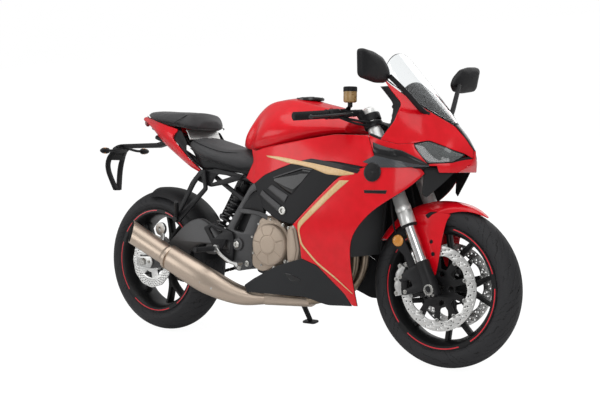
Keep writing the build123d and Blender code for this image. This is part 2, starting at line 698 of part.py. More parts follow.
# Swingarm: two tapered beams, a pivot tube and a brace ahead of the tyre
ARM_OUTLINE = [
    (PIVOT_X + 34, 400),
    (PIVOT_X + 10, 455),
    (430, 450),
    (60, REAR_TYRE_R + 35),
    (-44, REAR_TYRE_R + 23),
    (-44, REAR_TYRE_R - 23),
    (60, REAR_TYRE_R - 33),
    (400, 340),
]
ARCHED_ARM = [
    (PIVOT_X + 34, 400),
    (PIVOT_X + 10, 455),
    (462, 447),
    (419, 466),
    (383, 498),
    (332, 521),
    (273, 505),
    (228, 476),
    (156, 412),
    (60, REAR_TYRE_R + 37),
    (-44, REAR_TYRE_R + 23),
    (-44, REAR_TYRE_R - 23),
    (60, REAR_TYRE_R - 33),
    (214, 347),
    (274, 374),
    (303, 398),
    (347, 412),
    (398, 411),
    (430, 396),
]
with BuildPart() as swingarm:
    plate(ARM_Y, ARM_T, ARM_OUTLINE)
    plate(-ARM_Y - ARM_T, ARM_T, ARCHED_ARM)
    cross_rod(PIVOT_X, PIVOT_Z, -ARM_Y, ARM_Y, PIVOT_R)
    plate(-ARM_Y, 2 * ARM_Y, [(345, 370), (345, 415), (400, 422), (420, 380), (400, 362)])
    plate(-92, 24, [(346, 410), (398, 410), (384, 428), (352, 428)])
    cross_rod(0, REAR_TYRE_R, -ARM_Y - ARM_T, ARM_Y + ARM_T, AXLE_R + RUNNING_GAP, Mode.SUBTRACT)
    for side in (-1, 1):
        outer_y = side * (ARM_Y + ARM_T)
        cross_rod(SPOOL_X, REAR_TYRE_R, outer_y - side * SPOOL_DEPTH, outer_y, SPOOL_R, Mode.SUBTRACT)
    cross_rod(PIVOT_X, PIVOT_Z, -ARM_Y - ARM_T, ARM_Y + ARM_T, PIVOT_R - 8 + RUNNING_GAP, Mode.SUBTRACT)
save("swingarm", swingarm)

# Axle adjusters: plates on the outside of the arms that hold the rear axle square
with BuildPart() as adjusters:
    for side in (-1, 1):
        outer_y = side * (ARM_Y + ARM_T + RUNNING_GAP + ADJUSTER_T / 2)
        outline = [(x, REAR_TYRE_R + z) for x, z in ((-42, -19), (-36, 21), (48, 25), (60, -3), (44, -27))]
        plate(outer_y - ADJUSTER_T / 2, ADJUSTER_T, outline)
    cross_rod(0, REAR_TYRE_R, -ARM_Y - 2 * ARM_T, ARM_Y + 2 * ARM_T, AXLE_R + RUNNING_GAP, Mode.SUBTRACT)
save("axle_adjusters", adjusters)

# Rear shock: a damper from the frame to the swingarm brace, with its coil spring
SHOCK_TOP = Vector(535, -80, 668)
SHOCK_FOOT = Vector(361, -80, 434)
SHOCK_RUN = SHOCK_FOOT - SHOCK_TOP
SPRING_TURNS = 8
with BuildPart() as shock:
    rod(SHOCK_TOP, SHOCK_TOP + SHOCK_RUN * 0.5, 18)
    rod(SHOCK_TOP + SHOCK_RUN * 0.5, SHOCK_FOOT, 9)
    rod(SHOCK_TOP + SHOCK_RUN * 0.14, SHOCK_TOP + SHOCK_RUN * 0.17, 32)
    rod(SHOCK_TOP + SHOCK_RUN * 0.86, SHOCK_TOP + SHOCK_RUN * 0.89, 32)
save("rear_shock", shock)

with BuildPart() as spring:
    bore = 18 + RUNNING_GAP
    spring_top = SHOCK_TOP + SHOCK_RUN * 0.17 + SHOCK_RUN.normalized() * RUNNING_GAP
    pitch = (SHOCK_RUN.length * 0.69 - 2 * RUNNING_GAP) / SPRING_TURNS
    with BuildSketch(Plane(spring_top, x_dir=(0, 1, 0), z_dir=Vector(0, 1, 0).cross(SHOCK_RUN))):
        with BuildLine():
            for turn in range(SPRING_TURNS):
                start = turn * pitch
                ThreePointArc((22, start), (31, start + pitch / 2), (22, start + pitch))
            Polyline((22, 0), (bore, 0), (bore, SPRING_TURNS * pitch), (22, SPRING_TURNS * pitch))
        make_face()
    revolve(axis=Axis(spring_top, SHOCK_RUN))
save("shock_spring", spring)

# Rear hugger: a thin guard over the front of the rear tyre
HUGGER_R = REAR_TYRE_R + 9
with BuildPart() as hugger:
    with BuildSketch(Plane(REAR_AXLE)):
        with BuildLine():
            ThreePointArc((HUGGER_R - 34, -96), (HUGGER_R + 3, 0), (HUGGER_R - 34, 96))
            Line((HUGGER_R - 34, 96), (HUGGER_R - 34, 93))
            ThreePointArc((HUGGER_R - 34, 93), (HUGGER_R, 0), (HUGGER_R - 34, -93))
            Line((HUGGER_R - 34, -93), (HUGGER_R - 34, -96))
        make_face()
    revolve(axis=Axis(REAR_AXLE, (0, -1, 0)), revolution_arc=95)
    with BuildSketch(Plane(REAR_AXLE)):
        Rectangle(900, 300)
    extrude(amount=-300, mode=Mode.SUBTRACT)
    for side, angle in ((-1, 26), (1, 15)):
        x = (HUGGER_R - 25) * cos(radians(angle))
        z = REAR_TYRE_R + (HUGGER_R - 25) * sin(radians(angle))
        cross_rod(x, z, side * 80, side * (ARM_Y - RUNNING_GAP), 6)
save("rear_hugger", hugger)

# Fuel tank and its hinged filler cap
TANK = [
    # x, low half, low z, mid half, mid z, top half, top z, crown
    (515, 60, 812, 72, 832, 45, 850, 12),
    (560, 100, 806, 120, 855, 75, 905, 15),
    (640, 140, 800, 165, 870, 95, 975, 18),
    (740, 165, 812, 190, 890, 100, 997, 20),
    (880, 160, 838, 180, 900, 100, 975, 18),
    (1000, 135, 862, 150, 895, 95, 945, 12),
    (1060, 112, 868, 122, 890, 84, 916, 8),
]
CAP_X = 800
CAP_Z = 1010
CAP_R = 46
CAP_T = 9
with BuildPart() as tank:
    loft([body_section(*row) for row in TANK])
    rod(at(CAP_X, 0, CAP_Z - 40), at(CAP_X, 0, CAP_Z), CAP_R + 8)
    rod(at(CAP_X, 0, CAP_Z), at(CAP_X, 0, CAP_Z + 40), CAP_R + 12, Mode.SUBTRACT)
    for side in (-1, 1):
        rod(at(1000, side * 122, 830.1), at(1000, side * 122, 880), 12)
save("fuel_tank", tank)

with BuildPart() as cap:
    rod(at(CAP_X, 0, CAP_Z + RUNNING_GAP), at(CAP_X, 0, CAP_Z + CAP_T), CAP_R)
    fillet(cap.edges().sort_by(Axis.Z)[-1], 3)
save("fuel_cap", cap)

# Panels: thin bowed strips lofted along the machine, trimmed to their side-view outline
SIDE_SECTIONS = [
    # x, low y, low z, mid y, mid z, high y, high z
    (640, 165, 200, 185, 500, 168, 800),
    (780, 168, 200, 212, 500, 185, 860),
    (920, 160, 200, 226, 540, 190, 900),
    (1060, 140, 200, 226, 560, 185, 900),
    (1200, 130, 200, 218, 620, 180, 900),
    (1320, 120, 300, 196, 700, 172, 900),
    (1440, 60, 400, 116, 720, 100, 860),
]
SEAM = 0.8
COVER_EDGE = [(887, 516), (1099, 702), (1206, 740)]
TANK_EDGE = [(664, 672), (717, 704), (857, 747), (939, 764), (1080, 760), (1206, 740)]
BELLY_EDGE = [(1113, 214), (1091, 259), (991, 363), (919, 388)]


def lifted(edge, rise):
    """The same edge, higher by rise."""
    return [(x, z + rise) for x, z in edge]


SIDE_PANELS = [
    # node, outline, inner end and place of the post that holds it
    (
        "side_fairing",
        COVER_EDGE
        + [(1281, 756), (1405, 742), (1416, 718), (1378, 670), (1301, 618), (1241, 581)]
        + [(1191, 532), (1154, 486), (1141, 441), (1138, 380), (1135, 215)]
        + BELLY_EDGE
        + [(918, 439), (908, 497)],
        (1062, 560, 165.4, 223.5),
    ),
    (
        "belly_pan",
        [(602, 258), (650, 287), (791, 350)]
        + lifted(BELLY_EDGE, -SEAM * 1.6)[::-1]
        + [(1004, 208), (906, 236), (611, 230)],
        (700, 310, 132.4, 181),
    ),
    (
        "frame_cover",
        lifted(TANK_EDGE[:-1], -SEAM) + [(1200, 740.2)] + lifted(COVER_EDGE, SEAM * 1.3)[1::-1] + [(801, 533), (715, 580)],
        (810, 690, 180, 212),
    ),
    (
        "tank_side_panel",
        TANK_EDGE + [(1250, 770), (1215, 842), (1128, 858), (1060, 860), (797, 824), (697, 806), (650, 780)],
        (960, 790, 160, 211),
    ),
]
for node, outline, (post_x, post_z, post_in, post_out) in SIDE_PANELS:
    with BuildPart() as panel:
        for side in (-1, 1):
            sections = []
            for x, low_y, low_z, mid_y, mid_z, high_y, high_z in SIDE_SECTIONS:
                sections.append(
                    panel_section(
                        x, side * low_y, low_z, side * mid_y, mid_z, side * high_y, high_z, side * PANEL_T
                    )
                )
            loft(sections)
        plate(-300, 600, outline, Mode.INTERSECT)
        for side in (-1, 1):
            cross_rod(stretch(post_x), post_z, side * post_in, side * post_out, 6)
    save(node, panel)

# Screen: a clear bubble whose edges lie on the cowl
SCREEN = [
    # x, half width, edge z, centre z
    (1472, 8, 896, 898),
    (1400, 78, 948, 978),
    (1320, 122, 1008, 1066),
    (1255, 146, 1060, 1137),
    (1226, 152, 1084, 1169),
]
SCREEN_T = 4
with BuildPart() as screen:
    sections = []
    for x, half, edge_z, centre_z in SCREEN:
        with BuildSketch(across(x)) as section:
            with BuildLine():
                ThreePointArc((-half, edge_z), (0, centre_z), (half, edge_z))
                Line((half, edge_z), (half, edge_z - SCREEN_T))
                ThreePointArc((half, edge_z - SCREEN_T), (0, centre_z - SCREEN_T), (-half, edge_z - SCREEN_T))
                Line((-half, edge_z - SCREEN_T), (-half, edge_z))
            make_face()
        sections.append(section.sketch)
    loft(sections)
    plate(-200, 400, [(1200, 1180), (1224, 1180), (1254, 1040), (1200, 1040)], Mode.SUBTRACT)
save("windscreen", screen)

# Nose: a hollow cowl round the lamps, open behind and below for the fork, and on top for the screen
NOSE = [
    # x, low half, low z, mid half, mid z, top half, top z, crown
    (1250, 192, 768, 200, 840, 148, 1064, 20),
    (1320, 184, 766, 188, 830, 122, 1008, 20),
    (1400, 162, 759, 166, 800, 80, 948, 14),
    (1472, 112, 722, 116, 765, 28, 894, 6),
    (1515, 72, 728, 77, 766, 24, 845, 5),
    (1546, 28, 752, 32, 772, 14, 800, 3),
]
NOSE_REAR = [(1200, 1072), (1243, 1064), (1323, 972), (1312, 904), (1267, 838), (1240, 780), (1200, 780)]
LAMP = [(1392, 820), (1432, 832), (1528, 788), (1506, 762), (1432, 757)]
with BuildPart() as nose:
    loft([body_section(*row) for row in NOSE])
    inner = []
    for x, low_half, low_z, mid_half, mid_z, top_half, top_z, crown in NOSE:
        inner.append(
            body_section(
                x - 8,
                low_half - PANEL_T,
                low_z + PANEL_T,
                mid_half - PANEL_T,
                mid_z,
                top_half - PANEL_T,
                top_z - PANEL_T,
                crown,
            )
        )
    loft(inner, mode=Mode.SUBTRACT)
    plate(-300, 600, [(1200, 1094), (1200, 1300), (1480, 1300), (1480, 881)], Mode.SUBTRACT)
    plate(-155, 310, [(1200, 600), (1390, 600), (1390, 778), (1200, 800)], Mode.SUBTRACT)
    plate(-300, 600, NOSE_REAR, Mode.SUBTRACT)

with BuildPart() as headlamps:
    add(nose.part)
    plate(-300, 600, LAMP, Mode.INTERSECT)
save("headlamps", headlamps)

with BuildPart() as nose_cut:
    add(nose.part)
    plate(-300, 600, LAMP, Mode.SUBTRACT)
save("nose_fairing", nose_cut)

# Fairing stay: a bracket on the head tube that holds the cowl and the instruments
with BuildPart() as stay:
    cross_rod(stretch(1302), 850, -220, 220, 8)
    loft(inner, mode=Mode.INTERSECT)
    rod(at(1219.4, 0, 806), at(1302, 0, 850), 9)
    rod(at(1302, 0, 850), at(1318, 0, 941.5), 9)
    with Locations(at(1318, 0, 941.5)):
        Sphere(9)
    rod(at(1318, 0, 941.5), at(1292, 0, 967.8), 9)
save("fairing_stay", stay)

# Instruments: a flat screen on a bracket behind the windscreen
with BuildPart() as dash:
    with BuildSketch(Plane(at(1275, 0, 985), x_dir=(0, 1, 0), z_dir=(-0.7, 0, 0.71))):
        RectangleRounded(172, 92, 12)
    extrude(amount=-24)
save("instrument_panel", dash)

# Mirrors: slim heads on stems from the cowl
MIRROR_HEAD = [(-72, -32), (-60, -20), (30, 42), (78, 36), (82, 6), (60, -38), (-50, -46)]
with BuildPart() as mirrors:
    for side in (-1, 1):
        rod(at(1392, side * 92, 936), at(1350, side * 290, 1070), 8)
        with BuildSketch(Plane(at(1330, side * 350, 1100), x_dir=(0, 1, 0), z_dir=(1, 0, 0.1))):
            with BuildLine():
                Polyline(*[(side * out, up) for out, up in MIRROR_HEAD], close=True)
            make_face()
        extrude(amount=30)
    loft([body_section(*row) for row in NOSE], mode=Mode.SUBTRACT)
save("mirrors", mirrors)

# Seats: closed pads for rider and pillion
RIDER_SEAT = [
    # x, low half, low z, mid half, mid z, top half, top z, crown
    (235, 106, 815, 119, 835, 92, 858, 8),
    (320, 122, 766, 148, 805, 108, 832, 8),
    (420, 108, 735, 146, 775, 102, 806, 8),
    (545, 84, 712, 118, 752, 70, 786, 8),
    (612, 55, 726, 72, 745, 45, 765, 6),
]
with BuildPart() as rider_seat:
    loft([body_section(*row) for row in RIDER_SEAT])
    for side in (-1, 1):
        rod((420, side * 106, 730.7), (420, side * 106, 755), 8)
save("rider_seat", rider_seat)

PILLION_SEAT = [
    # x, low half, low z, mid half, mid z, top half, top z, crown
    (-100, 30, 962, 36, 968, 26, 974, 4),
    (-30, 80, 944, 92, 958, 70, 970, 10),
    (80, 110, 922, 122, 945, 95, 964, 10),
    (180, 112, 908, 125, 930, 100, 958, 10),
    (290, 60, 895, 70, 905, 50, 918, 6),
]
with BuildPart() as pillion_seat:
    loft([body_section(*row) for row in PILLION_SEAT])
    rod((60, 0, 888.6), (60, 0, 935), 14)
save("pillion_seat", pillion_seat)

# Tail: side cowls rising to a point behind the pillion seat, with a dark tray between them
TAIL = [
    # x, low y, low z, mid y, mid z, high y, high z
    (-146, 10, 944, 14, 950, 12, 956),
    (-40, 60, 904, 74, 922, 68, 938),
    (60, 90, 840, 118, 880, 112, 918),
    (160, 110, 785, 138, 840, 124, 900),
    (250, 120, 735, 144, 780, 136, 822),
    (334, 124, 700, 142, 722, 138, 742),
]
with BuildPart() as tail:
    for side in (-1, 1):
        sections = []
        for x, low_y, low_z, mid_y, mid_z, high_y, high_z in TAIL:
            sections.append(
                panel_section(x, side * low_y, low_z, side * mid_y, mid_z, side * high_y, high_z, side * 5)
            )
        loft(sections)
        cross_rod(60, 848, side * 97, side * 77.5, 6)
save("tail_cowl", tail)

with BuildPart() as undertray:
    with BuildSketch(beside(48)):
        with BuildLine():
            Polyline((-60, 918), (160, 856), (330, 740), (330, 728), (150, 838), (-60, 902), close=True)
        make_face()
    extrude(amount=96)
    for side in (-1, 1):
        rod((-10, side * 30, 870.3), (-10, side * 30, 892), 6)
save("tail_undertray", undertray)

# Number plate hanger: an arm under the tail, a bracket and two slim indicators
with BuildPart() as hanger:
    plate(-20, 40, [(40, 865), (-60, 842), (-290, 838), (-292, 818), (-60, 820), (40, 844)])
    plate(-14, 28, [(-270, 820), (-292, 826), (-400, 745), (-350, 620), (-326, 622), (-370, 738)])
    for side in (-1, 1):
        rod((-280, side * 16, 818), (-285, side * 120, 806), 6)
        rod((-285, side * 100, 806), (-287, side * 150, 804), 14)
save("plate_hanger", hanger)

# Subframe: two rails on each side that carry the seats and tail
with BuildPart() as subframe:
    for side in (-1, 1):
        rod((669.2, side * 129.7, 669.5), (330, side * 105, 735), 11)
        rod((330, side * 105, 735), (150, side * 80, 814), 11)
        rod((150, side * 80, 814), (-20, side * 54, 866), 10)
        rod((590, side * 143.2, 590), (250, side * 98, 768), 10)
    cross_rod(SHOCK_TOP.X + 6.2, SHOCK_TOP.Z + 8.2, -119, 119, 10)
    cross_rod(240, 768, -95, 95, 9)
    cross_rod(-10, 862, -54, 54, 8)
save("subframe", subframe)

# Side covers under the rider's seat: cast plates with a window, outside the subframe rails
SEAT_COVER = [(283, 690), (320, 673), (385, 651), (471, 664), (541, 681), (570, 704), (420, 726)]
SEAT_COVER += [(337, 722), (337, 694), (318, 698)]
SEAT_WINDOW = [(392, 668), (407, 690), (428, 705), (505, 698)]
with BuildPart() as seat_covers:
    for side in (-1, 1):
        low_y = side * (SEAT_COVER_Y + SEAT_COVER_T / 2) - SEAT_COVER_T / 2
        plate(low_y, SEAT_COVER_T, SEAT_COVER)
        plate(low_y, SEAT_COVER_T, SEAT_WINDOW, Mode.SUBTRACT)
        cross_rod(352, 714, side * 100, side * 200, 8 + RUNNING_GAP, Mode.SUBTRACT)
        cross_rod(440, 714.5, side * 124.4, side * (SEAT_COVER_Y + 1), 6)
save("seat_side_covers", seat_covers)

# Footrests for the rider: cast hangers with pegs
with BuildPart() as rider_pegs:
    for side in (-1, 1):
        plate(
            side * (PLATE_Y + PLATE_T + RUNNING_GAP + 6) - 6,
            12,
            [(390, 485), (440, 505), (552, 470), (560, 430), (552, 352), (520, 340), (455, 385), (430, 430)],
        )
        cross_rod(455, 400, side * (PLATE_Y + PLATE_T + RUNNING_GAP), side * 310, 11)
save("rider_footrests", rider_pegs)

with BuildPart() as pillion_pegs:
    for side in (-1, 1):
        plate(
            side * (PEG_PLATE_Y + 5) - 5,
            10,
            [(342, 724), (362, 724), (214, 524), (330, 560), (420, 562)]
            + [(420, 547), (330, 545), (190, 500), (182, 520)],
        )
        rod((200, side * (PEG_PLATE_Y + 5), 512), (258, side * 215, 590), 10)
        cross_rod(352, 714, side * (PEG_PLATE_Y + 2), side * 123, 8)
save("pillion_footrests", pillion_pegs)

# Rear caliper on its bracket above the swingarm
with BuildPart() as rear_caliper:
    with BuildSketch(Plane((0, -REAR_DISC_Y + 20, REAR_TYRE_R), x_dir=(1, 0, 0), z_dir=(0, -1, 0))):
        with BuildLine():
            CenterArc((0, 0), REAR_DISC_R + 14, 20, 40)
            CenterArc((0, 0), REAR_DISC_R - 36, 20, 40)
            for angle in (20, 60):
                out = Vector(cos(radians(angle)), sin(radians(angle)), 0)
                Line(out * (REAR_DISC_R - 36), out * (REAR_DISC_R + 14))
        make_face()
    extrude(amount=ARM_Y - REAR_DISC_Y + 20 - RUNNING_GAP)
    cross_rod(0, REAR_TYRE_R, -REAR_DISC_Y - 5, -REAR_DISC_Y + 5, REAR_DISC_R + 6, Mode.SUBTRACT)
save("rear_caliper", rear_caliper)

# Side stand: a leg from the left of the frame to the road, its foot flat on the ground as parked
with BuildPart() as stand:
    rod(STAND_PIVOT, STAND_FOOT, STAND_LEG_R)
    rod(STAND_PIVOT - STAND_AXIS * STAND_BOSS_HALF, STAND_PIVOT + STAND_AXIS * STAND_BOSS_HALF, STAND_BOSS_R)
    with BuildSketch(Plane(STAND_FOOT, x_dir=(1, 0, 0), z_dir=ROAD_UP)):
        SlotOverall(70, 44)
    extrude(amount=-STAND_FOOT_T)
save("side_stand", stand)

# Joint axes on the parked machine, for whoever sets up the motion
AXES = [
    ("steering", STEER_BASE, FORK_UP),
    ("side_stand", STAND_PIVOT, STAND_AXIS),
]
for name, point, direction in AXES:
    print(name, (PARKED * Location(tuple(point))).position, direction.rotate(Axis.X, -LEAN))
print("stand swing", STAND_DOWN.get_angle(STAND_FOLDED))
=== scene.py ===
import json

import bmesh
import bpy
import numpy as np
from mathutils import Matrix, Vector
from numpy import array, broadcast_arrays, clip, concatenate, cos, interp, linspace, pi, radians, sin, stack


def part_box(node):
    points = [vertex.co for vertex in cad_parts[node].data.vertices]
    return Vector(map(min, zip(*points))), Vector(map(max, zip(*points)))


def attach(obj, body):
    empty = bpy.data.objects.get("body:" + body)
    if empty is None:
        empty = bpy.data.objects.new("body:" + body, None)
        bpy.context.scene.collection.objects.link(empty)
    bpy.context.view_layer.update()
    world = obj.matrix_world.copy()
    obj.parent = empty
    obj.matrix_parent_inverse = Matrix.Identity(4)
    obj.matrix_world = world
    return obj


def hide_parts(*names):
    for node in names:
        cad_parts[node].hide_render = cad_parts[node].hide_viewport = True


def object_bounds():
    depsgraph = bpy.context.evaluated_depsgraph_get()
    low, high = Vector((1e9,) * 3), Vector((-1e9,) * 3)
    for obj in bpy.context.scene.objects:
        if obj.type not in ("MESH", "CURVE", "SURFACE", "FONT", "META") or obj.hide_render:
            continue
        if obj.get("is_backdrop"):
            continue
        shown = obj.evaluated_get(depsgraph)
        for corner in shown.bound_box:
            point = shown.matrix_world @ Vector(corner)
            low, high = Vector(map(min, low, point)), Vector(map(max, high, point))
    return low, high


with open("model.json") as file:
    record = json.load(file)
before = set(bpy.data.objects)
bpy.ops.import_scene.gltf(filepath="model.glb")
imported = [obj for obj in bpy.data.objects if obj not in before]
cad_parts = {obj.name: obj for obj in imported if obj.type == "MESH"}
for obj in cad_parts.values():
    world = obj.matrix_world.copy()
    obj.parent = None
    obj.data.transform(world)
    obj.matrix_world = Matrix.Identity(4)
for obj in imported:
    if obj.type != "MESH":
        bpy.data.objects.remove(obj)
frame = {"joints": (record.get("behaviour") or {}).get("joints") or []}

cad_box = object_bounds()

# The tyres: moulded rubber on seventeen inch rims, a round crown cut with curved grooves.
# Everything in this file is drawn on the upright machine, in millimetres, x forward from the rear
# axle, y to the rider's left and z up from the road, and then leaned over as the frame is parked.
JOINTS = {joint["name"]: joint for joint in frame["joints"]}
REAR_AXLE = array((0.0, 0.0, 315.0))
FRONT_AXLE = array((1435.0, 0.0, 300.0))
rear_hub = array(JOINTS["rear_wheel_spin"]["pos_m"])
machine_left = array(JOINTS["rear_wheel_spin"]["axis"])
machine_ahead = array((1.0, 0.0, 0.0))
MACHINE = stack((machine_ahead, machine_left, np.cross(machine_ahead, machine_left)))


def parked(points):
    """Upright millimetres to parked metres: measured from the rear axle along the leaned axes."""
    return rear_hub + (np.asarray(points, float) - REAR_AXLE) @ MACHINE / 1000


def linear(text):
    """An sRGB hex colour as linear RGBA, by the sRGB curve."""
    srgb = array([int(text[i : i + 2], 16) for i in (1, 3, 5)]) / 255
    return (*np.where(srgb <= 0.04045, srgb / 12.92, ((srgb + 0.055) / 1.055) ** 2.4), 1.0)


def add_node(tree, kind, links=(), **settings):
    """One shader node, its attributes or input values set by name and its inputs linked."""
    made = tree.nodes.new("ShaderNode" + kind)
    for name, value in settings.items():
        if hasattr(made, name):
            setattr(made, name, value)
        else:
            made.inputs[name.replace("_", " ")].default_value = value
    for name, output in dict(links).items():
        tree.links.new(output, made.inputs[name])
    return made


def new_material(name, slot, colour, **sockets):
    """A material with one Principled shader; also its tree and shader. The slot argument is not used."""
    made = bpy.data.materials.new(name)
    made.use_nodes = True
    tree = made.node_tree
    shader = tree.nodes["Principled BSDF"]
    shader.inputs["Base Color"].default_value = linear(colour)
    for socket, value in sockets.items():
        shader.inputs[socket.replace("_", " ")].default_value = value
    return made, tree, shader


def grain(tree, shader, size_mm, rough, bump=0.0, tint=None):
    """Noise of a real size on Object coordinates: roughness between two values, tint and bump."""
    place = add_node(tree, "TexCoord")
    noise = add_node(
        tree, "TexNoise", {"Vector": place.outputs["Object"]}, Scale=1000 / size_mm, Detail=4.0
    )
    spread = add_node(
        tree, "MapRange", {"Value": noise.outputs["Fac"]}, From_Min=0.3, From_Max=0.7, To_Min=rough[0],
        To_Max=rough[1],
    )
    tree.links.new(spread.outputs["Result"], shader.inputs["Roughness"])
    shader.inputs["Roughness"].default_value = sum(rough) / 2
    if tint:
        ramp = add_node(tree, "ValToRGB", {"Fac": noise.outputs["Fac"]})
        ramp.color_ramp.elements[0].position = 0.3
        ramp.color_ramp.elements[1].position = 0.7
        ramp.color_ramp.elements[0].color = linear(tint[0])
        ramp.color_ramp.elements[1].color = linear(tint[1])
        tree.links.new(ramp.outputs["Color"], shader.inputs["Base Color"])
    if bump:
        dent = add_node(
            tree, "Bump", {"Height": noise.outputs["Fac"]}, Strength=bump, Distance=size_mm / 4000
        )
        tree.links.new(dent.outputs["Normal"], shader.inputs["Normal"])


def grained(name, slot, colour, size_mm, rough, bump=0.0, tint=None, **sockets):
    """A material whose surface is one grain of a real size."""
    made, tree, shader = new_material(name, slot, colour, **sockets)
    grain(tree, shader, size_mm, rough, bump, tint)
    return made


def quads(rows, columns, round_rows, round_columns):
    """Corner numbers of the quads of a grid, closed into a ring along rows or columns where asked."""
    i = np.arange(rows if round_rows else rows - 1)[:, None]
    j = np.arange(columns if round_columns else columns - 1)[None, :]
    down = (i + 1) % rows
    right = (j + 1) % columns
    corners = (i * columns + j, i * columns + right, down * columns + right, down * columns + j)
    return stack(broadcast_arrays(*corners), -1).reshape(-1, 4)


def piece(
    name, grids, material, stands_for=None, body="chassis", wall=0.0, edge=0.0, crease=32,
    closed=None,
):
    """One object from open sheets of points, grids (points, closed rows, closed columns) and plates
    (points, faces). Closed shapes get their normals recalculated; a sheet gets a wall inwards."""
    closed = not wall if closed is None else closed
    corners = []
    faces = []
    count = 0
    for grid in grids:
        if isinstance(grid, np.ndarray):
            grid = (grid, False, False)
        points = grid[0]
        if len(grid) == 3:
            faces += (quads(*points.shape[:2], *grid[1:]) + count).tolist()
        else:
            faces += [[corner + count for corner in face] for face in grid[1]]
        points = points.reshape(-1, 3)
        corners.append(points)
        count += len(points)
    mesh = bpy.data.meshes.new(name)
    mesh.from_pydata(parked(concatenate(corners)), [], faces)
    shape = bmesh.new()
    shape.from_mesh(mesh)
    bmesh.ops.remove_doubles(shape, verts=shape.verts, dist=2e-5)
    bmesh.ops.dissolve_degenerate(shape, edges=shape.edges, dist=1e-6)
    if closed:
        bmesh.ops.recalc_face_normals(shape, faces=shape.faces)
    shape.to_mesh(mesh)
    shape.free()
    mesh.materials.append(material)
    mesh.polygons.foreach_set("use_smooth", np.ones(len(mesh.polygons), bool))
    mesh.set_sharp_from_angle(angle=radians(crease))
    made = bpy.data.objects.new(name, mesh)
    bpy.context.scene.collection.objects.link(made)
    if wall:
        skin = made.modifiers.new("wall", "SOLIDIFY")
        skin.thickness = wall / 1000
        skin.offset = -1
    if edge:
        roll = made.modifiers.new("rolled_edge", "BEVEL")
        roll.width = edge / 1000
        roll.segments = 2
        roll.limit_method = "ANGLE"
        roll.angle_limit = radians(50)
    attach(made, body)
    if stands_for:
        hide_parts(stands_for)
    return made


def lathe(profile, centre, steps=160, start=0.0, turn=2 * pi):
    """A profile of (radius, y) rows turned about a cross axle; a part turn leaves it open."""
    whole = turn >= 2 * pi - 1e-6
    angle = start + linspace(0, turn, steps, endpoint=not whole)[:, None]
    radius, y = np.asarray(profile, float).T
    points = stack(
        broadcast_arrays(centre[0] + radius * cos(angle), centre[1] + y, centre[2] + radius * sin(angle)), -1
    )
    return points, whole, False


TYRES = [
    # name, body, axle, outer radius, width, crown radius, rim half width, grooves, groove sweep
    ("front_tyre", "front_wheel", FRONT_AXLE, 300, 120, 66, 47, 26, 0.16),
    ("rear_tyre", "rear_wheel", REAR_AXLE, 315, 180, 98, 73, 22, 0.20),
]
TYRE_COLUMNS = 560
GROOVE_DEPTH = 4.2
BEAD_R = 216
FLANGE_R = 230
rubber, tree, shader = new_material(
    "moulded_rubber", "tyre", "#202022", Roughness=0.64, Specular_IOR_Level=0.25,
)
grain(tree, shader, 3.0, (0.5, 0.72), bump=0.15, tint=("#242426", "#323234"))
# Painted shade: the groove attribute darkens the rubber's colour towards near black, to put shade in the
# grooves. Merging points moves that attribute out of the grid's order, so the dark falls in faint scattered
# flecks, not in the grooves.
rubber_tone = shader.inputs["Base Color"].links[0].from_socket
groove_shade_share = add_node(tree, "Attribute", attribute_name="groove")
painted_groove_shade = add_node(
    tree, "MixRGB", {"Fac": groove_shade_share.outputs["Fac"], "Color1": rubber_tone}, Color2=linear("#060607")
)
tree.links.new(painted_groove_shade.outputs[0], shader.inputs["Base Color"])
for name, body, axle, outer, width, crown, rim_half, grooves, sweep in TYRES:
    shoulder = width / 2 * 0.94
    tread_y = linspace(-shoulder, shoulder, 47)
    tread_r = outer - crown + np.sqrt(crown**2 - tread_y**2)
    fall = linspace(0, 1, 17)[1:]
    wall_y = (1 - fall) ** 2 * shoulder + 2 * fall * (1 - fall) * width / 2 * 1.07 + fall**2 * rim_half
    bead = FLANGE_R + 2.5
    wall_r = (1 - fall) ** 2 * tread_r[-1] + fall * (1 - fall) * (tread_r[-1] + bead) + fall**2 * bead
    rib = np.exp(-(((wall_r - FLANGE_R - 9) / 1.6) ** 2))
    wall_y = wall_y + 0.9 * rib
    y = concatenate((-wall_y[::-1], tread_y, wall_y))
    radius = concatenate((wall_r[::-1], tread_r, wall_r))
    angle = linspace(0, 2 * pi, TYRE_COLUMNS, endpoint=False)[:, None]
    out = np.abs(y) / shoulder
    half_pitch = np.where(y > 0, 0.5, 0.0)
    phase = (angle / (2 * pi) * grooves + half_pitch + sweep * grooves * (out**1.5) / 2) % 1 - 0.5
    off_groove = np.abs(phase) * 2 * pi * radius / grooves
    inside = clip((out - 0.14) / 0.06, 0, 1) * clip((0.93 - out) / 0.06, 0, 1)
    depth = GROOVE_DEPTH * inside * clip(1.5 - off_groove / 2.6, 0, 1)
    points = stack(
        (
            axle[0] + (radius - depth) * cos(angle),
            np.broadcast_to(axle[1] + y, depth.shape),
            axle[2] + (radius - depth) * sin(angle),
        ),
        -1,
    )
    seat = [(bead, -rim_half), (BEAD_R + 1, -rim_half + 3), (BEAD_R + 1, rim_half - 3), (bead, rim_half)]
    inner = lathe(seat, axle, TYRE_COLUMNS)
    tyre = piece(f"moulded_{name}", [(points, True, False), inner], rubber, name, body=body, crease=28)
    # The share of painted shade at each point of the tread, taken from the groove depth.
    share = np.zeros(len(tyre.data.vertices))
    share[: depth.size] = clip(1.6 * depth.ravel() / GROOVE_DEPTH, 0, 1)
    tyre.data.attributes.new("groove", "FLOAT", "POINT").data.foreach_set("value", share)

# The wheels: cast aluminium, powder-coated satin black, five forked spokes between hub and barrel.
# Each spoke is a bar of rounded section that splits in two, cast in one with the rim.


